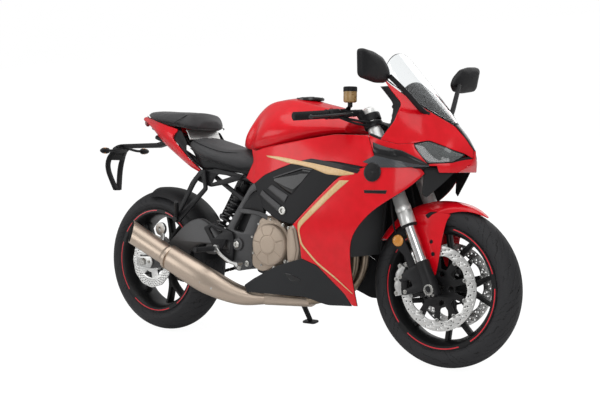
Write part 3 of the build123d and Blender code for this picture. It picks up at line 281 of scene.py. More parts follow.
def through(points, count):
    """Catmull-Rom curve through the points, at even steps of its parameter."""
    p = np.asarray(points, float)
    p = concatenate((2 * p[:1] - p[1:2], p, 2 * p[-1:] - p[-2:-1]))
    t = linspace(0, len(p) - 3, count)
    i = np.minimum(t.astype(int), len(p) - 4)
    f = (t - i).reshape((-1,) + (1,) * (p.ndim - 1))
    a, b, c, d = p[i], p[i + 1], p[i + 2], p[i + 3]
    return (2 * b + (c - a) * f + (2 * a - 5 * b + 4 * c - d) * f**2 + (3 * b - a - 3 * c + d) * f**3) / 2


def rail(path, half_wide, half_deep=None, deep=(0, 1, 0), power=2.0, sides=20, ends=True):
    """A bar along a path: superellipse sections of that power, half_deep measured towards `deep`."""
    path = np.asarray(path, float)
    along = np.gradient(path, axis=0)
    along /= np.linalg.norm(along, axis=1, keepdims=True)
    wide = np.cross(along, np.asarray(deep, float))
    wide /= np.linalg.norm(wide, axis=1, keepdims=True)
    low = np.cross(wide, along)
    turn = linspace(0, 2 * pi, sides, endpoint=False)
    over = np.sign(cos(turn)) * np.abs(cos(turn)) ** (2 / power)
    up = np.sign(sin(turn)) * np.abs(sin(turn)) ** (2 / power)
    half_wide = np.broadcast_to(np.asarray(half_wide, float), (len(path),))
    half_deep = half_wide if half_deep is None else np.broadcast_to(
        np.asarray(half_deep, float), (len(path),),
    )
    points = (
        path[:, None]
        + wide[:, None] * (over * half_wide[:, None])[..., None]
        + low[:, None] * (up * half_deep[:, None])[..., None]
    )
    if ends:
        first = np.repeat(path[:1, None], sides, 1)
        last = np.repeat(path[-1:, None], sides, 1)
        points = concatenate((first, points, last))
    return points, False, True


WHEELS = [
    # name, body, axle, rim half width, hub radius, hub half length, spoke half depth
    ("front_rim", "front_wheel", FRONT_AXLE, 50, 34, 44, 14),
    ("rear_rim", "rear_wheel", REAR_AXLE, 76, 46, 70, 19),
]
SPOKES = 5
wheel_black = grained(
    "powder_coated_aluminium", "black_wheel", "#111112", 0.9, (0.3, 0.46), bump=0.04,
    tint=("#0F0F10", "#1A1A1B"), Specular_IOR_Level=0.28,
)
stripe_red = grained("red_rim_tape", "black_wheel", "#D2182B", 6.0, (0.28, 0.42), Coat_Weight=0.4)
for name, body, axle, half, hub_r, hub_half, spoke_half in WHEELS:
    barrel = [
        (FLANGE_R, -half), (FLANGE_R + 1, -half + 2.5), (FLANGE_R, -half + 5), (BEAD_R + 1, -half + 5.5),
        (BEAD_R - 1, -half + 20), (202, -half + 32), (202, half - 32), (BEAD_R - 1, half - 20),
        (BEAD_R + 1, half - 5.5), (FLANGE_R, half - 5), (FLANGE_R + 1, half - 2.5), (FLANGE_R, half),
        (BEAD_R - 2, half), (BEAD_R - 7, half - 6), (196, half - 36), (196, 36 - half),
        (BEAD_R - 7, 6 - half), (BEAD_R - 2, -half), (FLANGE_R, -half),
    ]
    hub = [
        (13, -hub_half), (hub_r - 3, -hub_half), (hub_r, -hub_half + 3), (hub_r + 7, -spoke_half),
        (hub_r + 7, spoke_half), (hub_r, hub_half - 3), (hub_r - 3, hub_half), (13, hub_half),
        (13, -hub_half),
    ]
    grids = [lathe(barrel, axle), lathe(hub, axle, 64)]
    for spoke in range(SPOKES):
        angle = spoke * 2 * pi / SPOKES
        out = array((cos(angle), 0, sin(angle)))
        over = array((-sin(angle), 0, cos(angle)))
        fork_r = hub_r + 66
        stem = axle + linspace(hub_r - 4, fork_r + 16, 12)[:, None] * out
        thin = linspace(1, 0.72, 12)
        grids.append(rail(stem, 18 * thin, spoke_half * linspace(1, 0.9, 12), power=3.2))
        for side in (-1, 1):
            ends = [(fork_r - 26, 3), (fork_r + 8, 10), (fork_r + 48, 30), (BEAD_R - 15, 56)]
            path = through([axle + r * out + side * w * over for r, w in ends], 16)
            grids.append(rail(path, linspace(11, 9, 16), spoke_half * linspace(0.88, 1.15, 16), power=3.2))
    piece(f"cast_{name}", grids, wheel_black, name, body=body)
    # A thin tape stripe on the outer face of each flange, in five lengths with a gap between them
    tape = []
    for side in (-1, 1):
        for length in range(5):
            start = length * 2 * pi / 5 + 0.3
            face = half + 0.35
            strip = [
                (FLANGE_R - 8.5, side * face), (FLANGE_R - 4.5, side * face),
                (FLANGE_R - 4.5, side * (face - 0.3)),
            ]
            tape.append(lathe(
                strip + [(FLANGE_R - 8.5, side * (face - 0.3)), strip[0]], axle, 48, start, 1.02,
            ))
    piece(f"{name}_tape", tape, stripe_red, body=body)

# The brake discs: ground stainless rings, drilled through, on black carriers with steel bobbins.
# The front pair float on ten bobbins; the rear disc is one stamping with oval windows.


def cut_plate(loops, thick, rolled=0.8):
    """A flat plate from closed loops of (across, up) points, the first its rim and the rest holes."""
    curve = bpy.data.curves.new("plate_outline", "CURVE")
    curve.dimensions = "2D"
    curve.fill_mode = "BOTH"
    curve.extrude = thick / 2 - rolled
    curve.bevel_depth = rolled
    curve.bevel_resolution = 1
    curve.offset = -rolled
    for loop in loops:
        spline = curve.splines.new("POLY")
        spline.points.add(len(loop) - 1)
        flat = concatenate((np.asarray(loop, float), np.zeros((len(loop), 1)), np.ones((len(loop), 1))), 1)
        spline.points.foreach_set("co", flat.ravel())
        spline.use_cyclic_u = True
    holder = bpy.data.objects.new("plate_outline", curve)
    mesh = bpy.data.meshes.new_from_object(holder)
    corners = np.zeros(len(mesh.vertices) * 3)
    mesh.vertices.foreach_get("co", corners)
    faces = [list(polygon.vertices) for polygon in mesh.polygons]
    bpy.data.objects.remove(holder)
    bpy.data.curves.remove(curve)
    bpy.data.meshes.remove(mesh)
    return corners.reshape(-1, 3), faces


def side_plate(loops, y, thick, rolled=0.8):
    """A plate along the machine: loops of (x, z) points, its middle at y."""
    corners, faces = cut_plate(loops, thick, rolled)
    return corners[:, (0, 2, 1)] + (0, y, 0), faces


def ring(centre, radius, count=48, start=0.0, waves=0, wave=0.0):
    """A circle of (x, z) points about a centre, its radius rippled by a cosine where asked."""
    angle = start + linspace(0, 2 * pi, count, endpoint=False)
    reach = radius + wave * cos(waves * angle)
    return stack((centre[0] + reach * cos(angle), centre[1] + reach * sin(angle)), -1)


def polar(centre, radius, angle):
    """The (x, z) point at a radius and an angle from a centre."""
    return centre[0] + radius * cos(angle), centre[1] + radius * sin(angle)


disc_steel = grained(
    "ground_stainless", "disc_steel", "#D8D8D6", 1.2, (0.24, 0.4), bump=0.03, tint=("#C9C9C7", "#E6E6E4"),
    Metallic=1.0,
)
bobbin_steel = grained(
    "turned_steel", "bare_steel", "#A8A8A6", 2.0, (0.2, 0.36), tint=("#8E8E8C", "#BDBDBB"), Metallic=1.0,
)
FRONT_DISC_Y = 62
REAR_DISC_Y = -100
front_hub = FRONT_AXLE[[0, 2]]
rear_hub_xz = REAR_AXLE[[0, 2]]
rings = []
carriers = []
bobbins = []
for side in (-1, 1):
    holes = [ring(front_hub, 120, 90, waves=10, wave=2.5)]
    for radius, shift in ((150, 0.0), (143, 0.33), (136, 0.66), (128.5, 0.5)):
        for step in range(20):
            holes.append(ring(polar(front_hub, radius, (step + shift) * 2 * pi / 20), 3.1, 10))
    rings.append(side_plate([ring(front_hub, 158, 120)] + holes, side * FRONT_DISC_Y, 5, 0.4))
    arms = []
    for arm in range(10):
        angle = array((-0.16, -0.085, 0.085, 0.16)) + (arm + 0.5) * 2 * pi / 10
        arms += [polar(front_hub, r, a) for r, a in zip((74, 116, 116, 74), angle)]
    windows = [ring(front_hub, 26, 32)]
    for arm in range(5):
        windows.append(ring(polar(front_hub, 55, arm * 2 * pi / 5), 11, 16))
    carriers.append(side_plate([arms] + windows, side * (FRONT_DISC_Y - 1), 6, 1.2))
    cup = [
        (46, side * (FRONT_DISC_Y - 2)), (44, side * 50), (44, side * 45), (26, side * 45), (26, side * 61),
    ]
    carriers.append(lathe(cup + [cup[0]], FRONT_AXLE, 48))
    for arm in range(10):
        x, z = polar(front_hub, 117, (arm + 0.5) * 2 * pi / 10)
        knob = [(3, -5.2), (6.5, -5.2), (8, -4.4), (8, 4.4), (6.5, 5.2), (3, 5.2), (3, -5.2)]
        bobbins.append(lathe(knob, (x, side * FRONT_DISC_Y, z), 18))
piece("drilled_front_discs", rings, disc_steel, "front_discs", body="front_wheel")
piece("disc_carriers", carriers, wheel_black, "front_disc_carriers", body="front_wheel")
piece("front_disc_bobbins", bobbins, bobbin_steel, body="front_wheel")
holes = [ring(rear_hub_xz, 31, 32)]
HOLES_A_ROW = 44
for radius, size, shift in ((112, 2.6, 0.0), (104, 2.6, 0.5), (96, 2.6, 0.0), (88, 2.2, 0.5)):
    angles = (np.arange(HOLES_A_ROW) + shift) * 2 * pi / HOLES_A_ROW
    holes += [ring(polar(rear_hub_xz, radius, angle), size, 9) for angle in angles]
for window in range(5):
    middle = window * 2 * pi / 5 + 0.63
    sweep = linspace(-0.34, 0.34, 9)
    outer = [polar(rear_hub_xz, 77, middle + a) for a in sweep]
    holes.append(outer + [polar(rear_hub_xz, 52, middle + a * 0.8) for a in sweep[::-1]])
rear_disc = side_plate([ring(rear_hub_xz, 118, 110, waves=12, wave=1.5)] + holes, REAR_DISC_Y, 5, 0.4)
bell = [(44, REAR_DISC_Y + 2), (44, -70), (31, -70), (31, REAR_DISC_Y + 2), (44, REAR_DISC_Y + 2)]
grids = [rear_disc, lathe(bell, REAR_AXLE, 48)]
piece("drilled_rear_disc", grids, disc_steel, "rear_disc", body="rear_wheel")

# The main frame: two cast aluminium spars from the steering head to open pivot plates.
# Satin dark grey paint over a fine sand-cast skin; the plates have triangular windows with soft lips.


def rounded(loop, radius, steps=6):
    """A closed polygon of corners, each corner turned into a short parabola of that reach."""
    p = np.asarray(loop, float)
    back = np.roll(p, 1, 0) - p
    on = np.roll(p, -1, 0) - p
    back_length = np.linalg.norm(back, axis=1, keepdims=True)
    on_length = np.linalg.norm(on, axis=1, keepdims=True)
    reach = np.minimum(radius, 0.46 * np.minimum(back_length, on_length))
    start = (p + back / back_length * reach)[:, None]
    end = (p + on / on_length * reach)[:, None]
    t = linspace(0, 1, steps)[None, :, None]
    return ((1 - t) ** 2 * start + 2 * t * (1 - t) * p[:, None] + t**2 * end).reshape(-1, 2)


def turned(profile, base, axis, steps=40):
    """A profile of (radius, along) rows turned about any axis from a base point."""
    axis = np.asarray(axis, float) / np.linalg.norm(axis)
    side = np.cross(axis, (0.31, 0.87, 0.38))
    side /= np.linalg.norm(side)
    over = np.cross(axis, side)
    angle = linspace(0, 2 * pi, steps, endpoint=False)[:, None, None]
    radius, reach = np.asarray(profile, float).T
    out = cos(angle) * side + sin(angle) * over
    return np.asarray(base, float) + radius[None, :, None] * out + reach[None, :, None] * axis, True, False


def plain_pin(radius, start, end):
    """The profile of a plain pin from start to end along its axis."""
    return [(0.1, start), (radius, start), (radius, end), (0.1, end)]


def bolt(place, axis, radius=7, tall=5):
    """A flanged socket-head bolt: a washer, a rounded head and a sunk socket."""
    head = [
        (0.1, 0), (radius * 1.5, 0), (radius * 1.5, 1.2), (radius, 1.4), (radius, tall - 0.8),
        (radius * 0.9, tall), (radius * 0.5, tall), (radius * 0.5, tall * 0.4), (0.1, tall * 0.4),
    ]
    return turned(head, place, axis, 18)


cast_grey = grained(
    "painted_cast_grey", "cast_grey", "#474748", 1.4, (0.34, 0.5), bump=0.08, tint=("#404041", "#4F4F50"),
    Metallic=0.5,
)
cast_black = grained(
    "painted_cast_black", "cast_black", "#161618", 1.2, (0.34, 0.52), bump=0.06, tint=("#121214", "#1C1C1E"),
    Specular_IOR_Level=0.28,
)
bolt_steel = grained(
    "plated_bolt_steel", "bare_steel", "#B9B8B4", 3.0, (0.22, 0.36), tint=("#A7A6A2", "#C9C8C4"),
    Metallic=1.0,
)
SPAR = [
    # x, middle y, half width, middle z, half height of the left spar
    (1186, 14, 13, 828, 43),
    (1150, 26, 22, 816, 45),
    (1120, 52, 24, 806, 47),
    (1040, 113, 15, 783, 52),
    (960, 145, 15, 766, 53),
    (880, 165, 15, 744, 54),
    (780, 166, 13, 684, 60),
    (690, 166, 12, 624, 66),
]
PIVOT_PLATE = [
    (704, 560), (704, 700), (640, 668), (560, 560), (500, 470), (520, 380), (560, 310), (652, 330),
    (656, 440),
]
PLATE_WINDOWS = [
    [(680, 600), (680, 650), (640, 630), (600, 575)],
    [(650, 565), (590, 550), (545, 480), (600, 470)],
]
RAKE = radians(23.5)
FORK_UP = array((-sin(RAKE), 0, cos(RAKE)))
FORK_AHEAD = array((cos(RAKE), 0, sin(RAKE)))
HEAD_BASE = FRONT_AXLE - 30 * FORK_AHEAD
PLATE_MIDDLE_Y = 166
grids = []
bolts = []
for side in (-1, 1):
    x, y, half_y, z, half_z = through(SPAR, 44).T
    grids.append(rail(stack((x, side * y, z), -1), half_z, half_y, power=5, sides=28))
    loops = [rounded(PIVOT_PLATE, 24)] + [rounded(window, 12) for window in PLATE_WINDOWS]
    grids += [
        side_plate(loops, side * PLATE_MIDDLE_Y, 24, 3.5),
        turned([(0.1, 0), (26, 0), (26, 8), (22, 11), (0.1, 11)], (574, side * 177, 422), (0, side, 0)),
    ]
    for x, z in ((690, 676), (620, 346), (578, 330)):
        bolts.append(bolt((x, side * 178, z), (0, side, 0), 8, 6))
    nut = [(0.1, 0), (15, 0), (15, 5), (12, 8), (7, 8), (7, 3), (0.1, 3)]
    bolts.append(turned(nut, (574, side * 187, 422), (0, side, 0), 6))
grids.append(turned(
    [(20, 482), (33, 482), (33, 500), (30, 506), (30, 626), (33, 632), (33, 649), (20, 649)], HEAD_BASE,
    FORK_UP,
))
for x, z, reach, radius in ((570, 327, 158, 13), (682, 667, 158, 12)):
    ends = linspace((x, -reach, z), (x, reach, z), 6)
    grids.append(rail(ends, radius, deep=(0, 0, 1), sides=24))
lug = [(600, 335), (545, 335), (528, 300), (530, 268), (560, 262), (590, 300)]
grids.append(side_plate([rounded(lug, 10)], 121, 18, 2))
STAND_PIVOT = array((545.0, 152.0, 290.0))
stand_axis = np.linalg.solve(MACHINE.T, array(JOINTS["side_stand_fold"]["axis"]))
grids.append(turned(plain_pin(16, -48, -13.4), STAND_PIVOT, stand_axis, 28))
piece("twin_spar_frame", grids, cast_grey, "main_frame")
piece("frame_bolts", bolts, bolt_steel)

# The subframe: steel tube, welded and painted black, with cast side covers below the rider's seat.
# Tubes run from the main frame up to the tail; each cover is a thin plate with a window.
SUBFRAME = [
    # start, end, radius for the left side
    ((669, 129.7, 669.5), (330, 105, 735), 11),
    ((330, 105, 735), (150, 80, 814), 11),
    ((150, 80, 814), (-20, 54, 866), 10),
    ((590, 143.2, 590), (250, 98, 768), 10),
]
grids = []
covers = []
for side in (-1, 1):
    flip = array((1, side, 1))
    for start, end, radius in SUBFRAME:
        grids.append(rail(linspace(start, end, 6) * flip, radius, sides=18))
    cover = [
        (283, 690), (320, 673), (385, 651), (471, 664), (541, 681), (570, 704), (420, 726), (337, 722),
        (337, 694), (318, 698),
    ]
    loops = [rounded(cover, 8), rounded([(392, 668), (407, 690), (428, 705), (505, 698)], 6)]
    covers += [
        side_plate(loops, side * 138, 6, 1.5),
        rail(linspace((440, 124, 714.5), (440, 136, 714.5), 3) * flip, 6, deep=(0, 0, 1), sides=14),
    ]
for x, z, reach, radius in ((541, 676, 119, 10), (240, 768, 95, 9), (-10, 862, 54, 8)):
    grids.append(rail(linspace((x, -reach, z), (x, reach, z), 4), radius, deep=(0, 0, 1), sides=18))
piece("tube_subframe", grids, cast_black, "subframe")
piece("seat_cover_plates", covers, cast_black, "seat_side_covers")

# The swingarm: a cast aluminium fork, its right arm arched over the silencer, painted dark grey.
# Bright adjuster plates hold the axle at its ends.
LEFT_ARM = [(608, 400), (584, 455), (430, 450), (60, 350), (-44, 338), (-44, 292), (60, 282), (400, 340)]
RIGHT_ARM = [
    (608, 400), (584, 455), (462, 447), (419, 466), (383, 498), (332, 521), (273, 505), (228, 476),
    (156, 412), (60, 352), (-44, 338), (-44, 292), (60, 282), (214, 347), (274, 374), (303, 398), (347, 412),
    (398, 411), (430, 396),
]
grids = [
    side_plate([rounded(LEFT_ARM, 40, 10)], 136, 28, 6),
    side_plate([rounded(RIGHT_ARM, 60, 10)], -136, 28, 6),
    rail(linspace((574, -122, 422), (574, 122, 422), 4), 22, deep=(0, 0, 1), sides=28),
    rail(linspace((382, -128, 392), (382, 128, 392), 4), 32, 24, deep=(0, 0, 1), power=4, sides=28),
    side_plate([rounded([(346, 405), (398, 405), (384, 428), (352, 428)], 6)], -80, 24, 2),
]
adjusters = []
nuts = []
for side in (-1, 1):
    plate = rounded([(-42, 296), (-36, 336), (48, 340), (60, 312), (44, 288)], 10)
    adjusters.append(side_plate([plate], side * 153.8, 7, 1.5))
    nuts += [
        turned([(0.1, 0), (17, 0), (17, 9), (14, 11), (0.1, 11)], (0, side * 157.5, 315), (0, side, 0), 6),
        bolt((36, side * 157, 316), (0, side, 0), 6, 5),
    ]
nuts.append(rail(linspace((0, -157, 315), (0, 157, 315), 4), 12, deep=(0, 0, 1), sides=24))
piece("arched_swingarm", grids, cast_grey, "swingarm")
caliper_silver = grained(
    "anodised_silver", "caliper_silver", "#C6C6C4", 1.5, (0.28, 0.42), bump=0.05, tint=("#B8B8B6", "#D2D2D0"),
    Metallic=0.9,
)
piece("adjuster_plates", adjusters, caliper_silver, "axle_adjusters")
piece("rear_axle_and_nuts", nuts, bolt_steel, "rear_axle")

# The final drive: a roller chain of pressed steel plates on toothed sprockets, lightly oiled.
# Links alternate between narrow inner pairs and wide outer pairs, 15.9 mm apart.
CHAIN_Y = 106
PITCH = 15.875
WHEEL_R = 106
DRIVE_R = 41
DRIVE_AT = array((648.0, 418.0))
chain_steel = grained(
    "oiled_chain_steel", "chain_steel", "#6E6A64", 5.0, (0.28, 0.5), tint=("#575450", "#827D76"),
    Metallic=1.0,
)
run = DRIVE_AT - rear_hub_xz
slant = np.arctan2(run[1], run[0])
lean = np.arcsin((WHEEL_R - DRIVE_R) / np.linalg.norm(run))
rear_arc = slant + linspace(pi / 2 - lean, 3 * pi / 2 + lean, 400)
front_arc = slant + linspace(-pi / 2 + lean, pi / 2 - lean, 200)
loop = [
    rear_hub_xz + WHEEL_R * stack((cos(rear_arc), sin(rear_arc)), -1),
    DRIVE_AT + DRIVE_R * stack((cos(front_arc), sin(front_arc)), -1),
]
loop = concatenate(loop + [loop[0][:1]])
reach = concatenate(([0], np.cumsum(np.linalg.norm(np.diff(loop, axis=0), axis=1))))
links = int(reach[-1] / PITCH / 2) * 2
pins = stack([interp(linspace(0, reach[-1], links + 1), reach, loop[:, k]) for k in (0, 1)], -1)
turn = linspace(0, 2 * pi, 16, endpoint=False)
half_link = PITCH / 2
link_loop = stack(((half_link + 5.5) * cos(turn), 6.2 * sin(turn) - 0.9 * sin(3 * turn)), -1)
corners, faces = cut_plate([link_loop], 2.0, 0.4)
grids = []
for k in range(links):
    start, end = pins[k], pins[k + 1]
    along_link = (end - start) / np.linalg.norm(end - start)
    middle = (start + end) / 2
    place = middle + corners[:, :1] * along_link + corners[:, 1:2] * array((-along_link[1], along_link[0]))
    spread = 5.2 if k % 2 else 7.4
    for side in (-1, 1):
        grids.append((stack((place[:, 0], CHAIN_Y + side * spread + corners[:, 2], place[:, 1]), -1), faces))
    barrel = [(0.1, -8.2), (2.6, -8.2), (2.6, -4), (5, -4), (5, 4), (2.6, 4), (2.6, 8.2), (0.1, 8.2)]
    grids.append(lathe(barrel, (start[0], CHAIN_Y, start[1]), 10))
piece("roller_chain", grids, chain_steel, "drive_chain")
TEETH = 44
holes = [ring(rear_hub_xz, 30, 32)] + [ring(polar(rear_hub_xz, 66, k * 2 * pi / 5), 15, 20) for k in range(5)]
sprocket = side_plate([ring(rear_hub_xz, 101, TEETH * 10, waves=TEETH, wave=3.2)] + holes, CHAIN_Y, 6.5, 0.6)
carrier = [(30, 70), (44, 70), (44, 102), (30, 102), (30, 70)]
grids = [sprocket, lathe(carrier, REAR_AXLE, 48)]
for k in range(5):
    x, z = polar(rear_hub_xz, 42, (k + 0.5) * 2 * pi / 5)
    grids.append(bolt((x, 109, z), (0, 1, 0), 6, 6))
piece("toothed_sprocket", grids, bobbin_steel, "rear_sprocket", body="rear_wheel")

# The rear suspension: a gas damper inside a black coil spring, exposed on the right of the machine.
# The spring is wound from round wire; the hugger over the tyre is thin moulded plastic.
SHOCK_TOP = array((535.0, -80.0, 668.0))
SHOCK_FOOT = array((361.0, -80.0, 434.0))
shock_run = SHOCK_FOOT - SHOCK_TOP
length = np.linalg.norm(shock_run)
shock_axis = shock_run / length
damper = [
    (0.1, 0), (15, 0), (18, 4), (18, 0.14 * length), (32, 0.14 * length), (32, 0.17 * length),
    (20, 0.18 * length), (20, 0.5 * length), (9, 0.52 * length), (9, 0.86 * length), (32, 0.86 * length),
    (32, 0.89 * length), (14, 0.9 * length), (14, length), (0.1, length),
]
satin_black = grained(
    "satin_black_steel", "cast_black", "#161617", 2.0, (0.24, 0.38), tint=("#121213", "#1D1D1E"),
    Coat_Weight=0.5,
)
piece("gas_damper", [turned(damper, SHOCK_TOP, shock_axis)], cast_black, "rear_shock")
over = np.cross(shock_axis, (0, 1, 0))
angle = linspace(0, 2 * pi * 6.5, 260)[:, None]
at = linspace(0.19, 0.84, 260)[:, None] * length
coil = SHOCK_TOP + at * shock_axis + 25.5 * (cos(angle) * array((0, 1, 0)) + sin(angle) * over)
piece(
    "coil_spring", [rail(coil, 5.6, deep=shock_axis, sides=12)], satin_black, "shock_spring",
)
angle = radians(linspace(4, 95, 60))[:, None]
y = linspace(-94, 94, 41)
drop = 35 * (np.abs(y) / 94) ** 2.6
flare = 1 + 0.25 * clip((np.degrees(angle) - 70) / 25, 0, 1)
radius = 326 - drop * flare
points = stack(
    broadcast_arrays(radius * cos(angle), y * np.ones_like(angle), REAR_AXLE[2] + radius * sin(angle)), -1
)
black_plastic = grained(
    "grained_black_plastic", "black_plastic", "#171719", 0.8, (0.42, 0.58), bump=0.12,
    tint=("#131315", "#1D1D1F"), Specular_IOR_Level=0.25,
)
sheet = [points[:, ::-1]]
piece("moulded_hugger", sheet, black_plastic, "rear_hugger", wall=2.5, edge=1.0)

# The engine: a sand-cast crankcase with four cylinders leaning forward, blasted dark grey.
# Its side covers are die-cast and painted bronze; the round one is split into flat segments by grooves.
ENGINE_SIDE = [
    (632, 310), (700, 296), (905, 300), (925, 400), (890, 520), (960, 660), (905, 735), (790, 690),
    (740, 545), (632, 505),
]
engine_grey = grained(
    "blasted_cast_iron_grey", "engine_grey", "#39393A", 1.6, (0.5, 0.7), bump=0.2,
    tint=("#313132", "#434344"), Metallic=0.3,
)
bronze = grained(
    "bronze_paint", "bronze_cover", "#A89888", 1.2, (0.36, 0.5), bump=0.05, tint=("#A39282", "#B3A494"),
    Metallic=0.45,
)
grids = [side_plate([rounded(ENGINE_SIDE, 16)], 0, 264, 8)]
for level in range(7):
    foot = array((905.0 - 8 * level, 0, 545.0 + 20 * level))
    for side in (-1, 1):
        rib = linspace(foot + (-128, side * 131, 34), foot + (0, side * 131, 0), 5)
        grids.append(rail(rib, 3.5, 5, power=3, sides=10))
for side in (-1, 1):
    head = [(884, 738), (900, 748), (972, 668), (958, 652)]
    grids.append(side_plate([rounded(head, 6)], side * 60, 110, 5))
sprocket_well = [(30, 131), (48, 131), (52, 136), (52, 140), (30, 140), (30, 131)]
grids.append(lathe(sprocket_well, (648, 0, 418), 40))
piece("cast_engine", grids, engine_grey, "engine_block")

CLUTCH_BASE = [
    (634, 383), (650, 334), (700, 318), (745, 336), (806, 372), (833, 430), (824, 486), (790, 522),
    (742, 548), (690, 537), (655, 480),
]
PULSE_BASE = [(836, 356), (882, 360), (894, 420), (874, 514), (834, 508), (828, 430)]
grids = [
    side_plate([rounded(CLUTCH_BASE, 26)], -155, 46, 5), side_plate([rounded(PULSE_BASE, 16)], -161, 58, 7),
]
angle = linspace(0, 2 * pi, 216, endpoint=False)[:, None]
radius = concatenate((linspace(0.2, 35, 8), linspace(36, 40, 6), linspace(41, 80, 20), [82.2, 83, 83]))
height = interp(radius, (0, 34, 36, 38, 40, 74, 80, 83), (205, 205, 204, 201.5, 203, 200, 197, 192))
height[-1] = 176
split = np.abs((angle / (2 * pi) * 7 + 0.2) % 1 - 0.5) * 2 * pi * radius / 7
gap = 2.4 * clip(1.5 - split / 1.8, 0, 1) * clip((radius - 40) / 3, 0, 1) * clip((81 - radius) / 3, 0, 1)
points = stack((745 + radius * cos(angle), gap - height, 430 + radius * sin(angle)), -1)
grids.append((points, True, False))
facet = [(846, 372), (874, 374), (882, 420), (866, 498), (846, 494)]
grids.append(side_plate([rounded(facet, 8)], -191, 5, 2))
dome = [(0.1, 195), (50, 195), (60, 192), (66, 186), (70, 178), (70, 132)]
grids += [
    lathe(dome, (845, 0, 430), 72), side_plate([ring((845, 430), 84, 60, waves=6, wave=4)], 138, 14, 2.5),
]
piece("bronze_covers", grids, bronze, "engine_covers")
grids = []
for k in range(9):
    x, z = polar((742, 432), 98, radians(52 + 38 * k))
    x, z = clip(x, 646, 822), clip(z, 336, 532)
    grids.append(bolt((x, -176, z), (0, -1, 0), 5, 5))
for x, z in ((842, 366), (878, 368), (866, 506), (840, 500)):
    grids.append(bolt((x, -188, z), (0, -1, 0), 4.5, 5))
for k in range(6):
    x, z = polar((845, 430), 80, radians(60 * k))
    grids.append(bolt((x, 144, z), (0, 1, 0), 5, 5))
piece("cover_bolts", grids, bolt_steel)

# The radiator: an aluminium core of flat tubes and fins between two welded tanks, painted black.
# It hangs from two round lugs in front of the header pipes.
core_black, tree, shader = new_material(
    "radiator_fins", "radiator_core", "#2A2B2C", Metallic=0.5, Roughness=0.5,
)
# Painted light and shade: the fins are drawn as wave bands of colour, near-black painted shade between them
# and grey painted light on their edges.
place = add_node(tree, "TexCoord")
painted_fin_shade = add_node(tree, "TexWave", {"Vector": place.outputs["Object"]}, Scale=90.0, bands_direction="Z")
shade = add_node(tree, "ValToRGB", {"Fac": painted_fin_shade.outputs["Fac"]})
shade.color_ramp.elements[0].color = linear("#0E0E0F")
shade.color_ramp.elements[1].color = linear("#4A4C4E")
tree.links.new(shade.outputs["Color"], shader.inputs["Base Color"])
core_up = array((0.12, 0, 1)) / np.hypot(0.12, 1)
core_ahead = array((1, 0, -0.12)) / np.hypot(0.12, 1)
middle = array((1040.0, 0, 540)) + 15 * core_ahead
slab = linspace(middle - 148 * core_up, middle + 148 * core_up, 8)
grids = [rail(slab, 142, 13, deep=core_ahead, power=12, sides=32)]
piece("radiator_core", grids, core_black, "radiator")
grids = []
for side in (-1, 1):
    tank = linspace(middle - 150 * core_up, middle + 150 * core_up, 10) + (0, side * 152, 0)
    grids.append(rail(tank, 13, 15, deep=core_ahead, power=4, sides=24))
    lugs = linspace((1056, side * 106, 676), (1056, side * 106, 732), 3)
    grids.append(rail(lugs, 8, sides=16))
piece("radiator_tanks", grids, cast_black)

# The exhaust: four stainless headers bent under the engine into a collector, and a brushed silencer.
# The headers are straw-coloured from heat; the conical can ends in a slanted mouth with a thin lip.


def edge_line(points, count, soft=6):
    """Even steps along straight runs, each inner point then averaged with its neighbours."""
    p = np.asarray(points, float)
    reach = concatenate(([0], np.cumsum(np.linalg.norm(np.diff(p, axis=0), axis=1))))
    steps = linspace(0, reach[-1], count)
    line = stack([interp(steps, reach, p[:, k]) for k in range(p.shape[1])], -1)
    for _ in range(soft):
        line[1:-1] = (line[:-2] + 2 * line[1:-1] + line[2:]) / 4
    return line


brushed, tree, shader = new_material(
    "brushed_stainless", "exhaust_steel", "#BBAB9B", Metallic=1.0, Roughness=0.36,
)
place = add_node(tree, "TexCoord")
stretch = add_node(tree, "Mapping", {"Vector": place.outputs["Object"]}, Scale=(12.0, 220.0, 90.0))
streaks = add_node(tree, "TexNoise", {"Vector": stretch.outputs[0]}, Scale=6.0, Detail=6.0)
spread = add_node(tree, "MapRange", {"Value": streaks.outputs["Fac"]}, To_Min=0.3, To_Max=0.46)
tree.links.new(spread.outputs["Result"], shader.inputs["Roughness"])
ramp = add_node(tree, "ValToRGB", {"Fac": streaks.outputs["Fac"]})
ramp.color_ramp.elements[0].color = linear("#AE9D8D")
ramp.color_ramp.elements[1].color = linear("#CABBAC")
tree.links.new(ramp.outputs["Color"], shader.inputs["Base Color"])
straw = grained(
    "heat_tinted_stainless", "exhaust_steel", "#8F7F6D", 60.0, (0.24, 0.4), tint=("#766653", "#AA9A88"),
    Metallic=1.0,
)
grids = []
for y in (-105, -35, 35, 105):
    bend = [(938, y, 627), (1000, y, 596), (1000, y, 320), (930, 0.8 * y, 215), (800, 0.45 * y - 20, 205)]
    grids += [
        rail(edge_line(bend, 90, 60), 19, sides=24),
        turned([(20, 0), (32, 0), (32, 6), (24, 9), (20, 9)], (938, y, 627), (0.896, 0, -0.445), 28),
    ]
piece("header_pipes", grids, straw, "exhaust_headers")
path = linspace((835, -14, 205), (655, -92, 205), 24)
grids = [rail(path, linspace(86, 45, 24), linspace(28, 30, 24), deep=(0, 0, 1), power=2.8, sides=40)]
piece("collector", grids, brushed)
SILENCER = [
    # x, y, z, half height, half width
    (664, -88, 205, 28, 44),
    (560, -150, 212, 40, 44),
    (440, -205, 262, 54, 43),
    (330, -220, 310, 55, 45),
    (234, -222, 350, 53, 46),
]
OUTLET = array((-1, 0, 0.42)) / np.hypot(1, 0.42)
CAN_ROOT = array((236.0, -222, 349))
MOUTH_AT = 262
rows = through(SILENCER, 60)
body = rail(rows[:, :3], rows[:, 4], rows[:, 3], deep=(0, 0, 1), sides=48)
inward = array((0.0, 1, 0))
upward = np.cross(OUTLET, inward)
upward = upward if upward[2] > 0 else -upward
angle = linspace(0, 2 * pi, 72, endpoint=False)[:, None]
lip = MOUTH_AT + 1.2 * 43.5 * cos(angle)
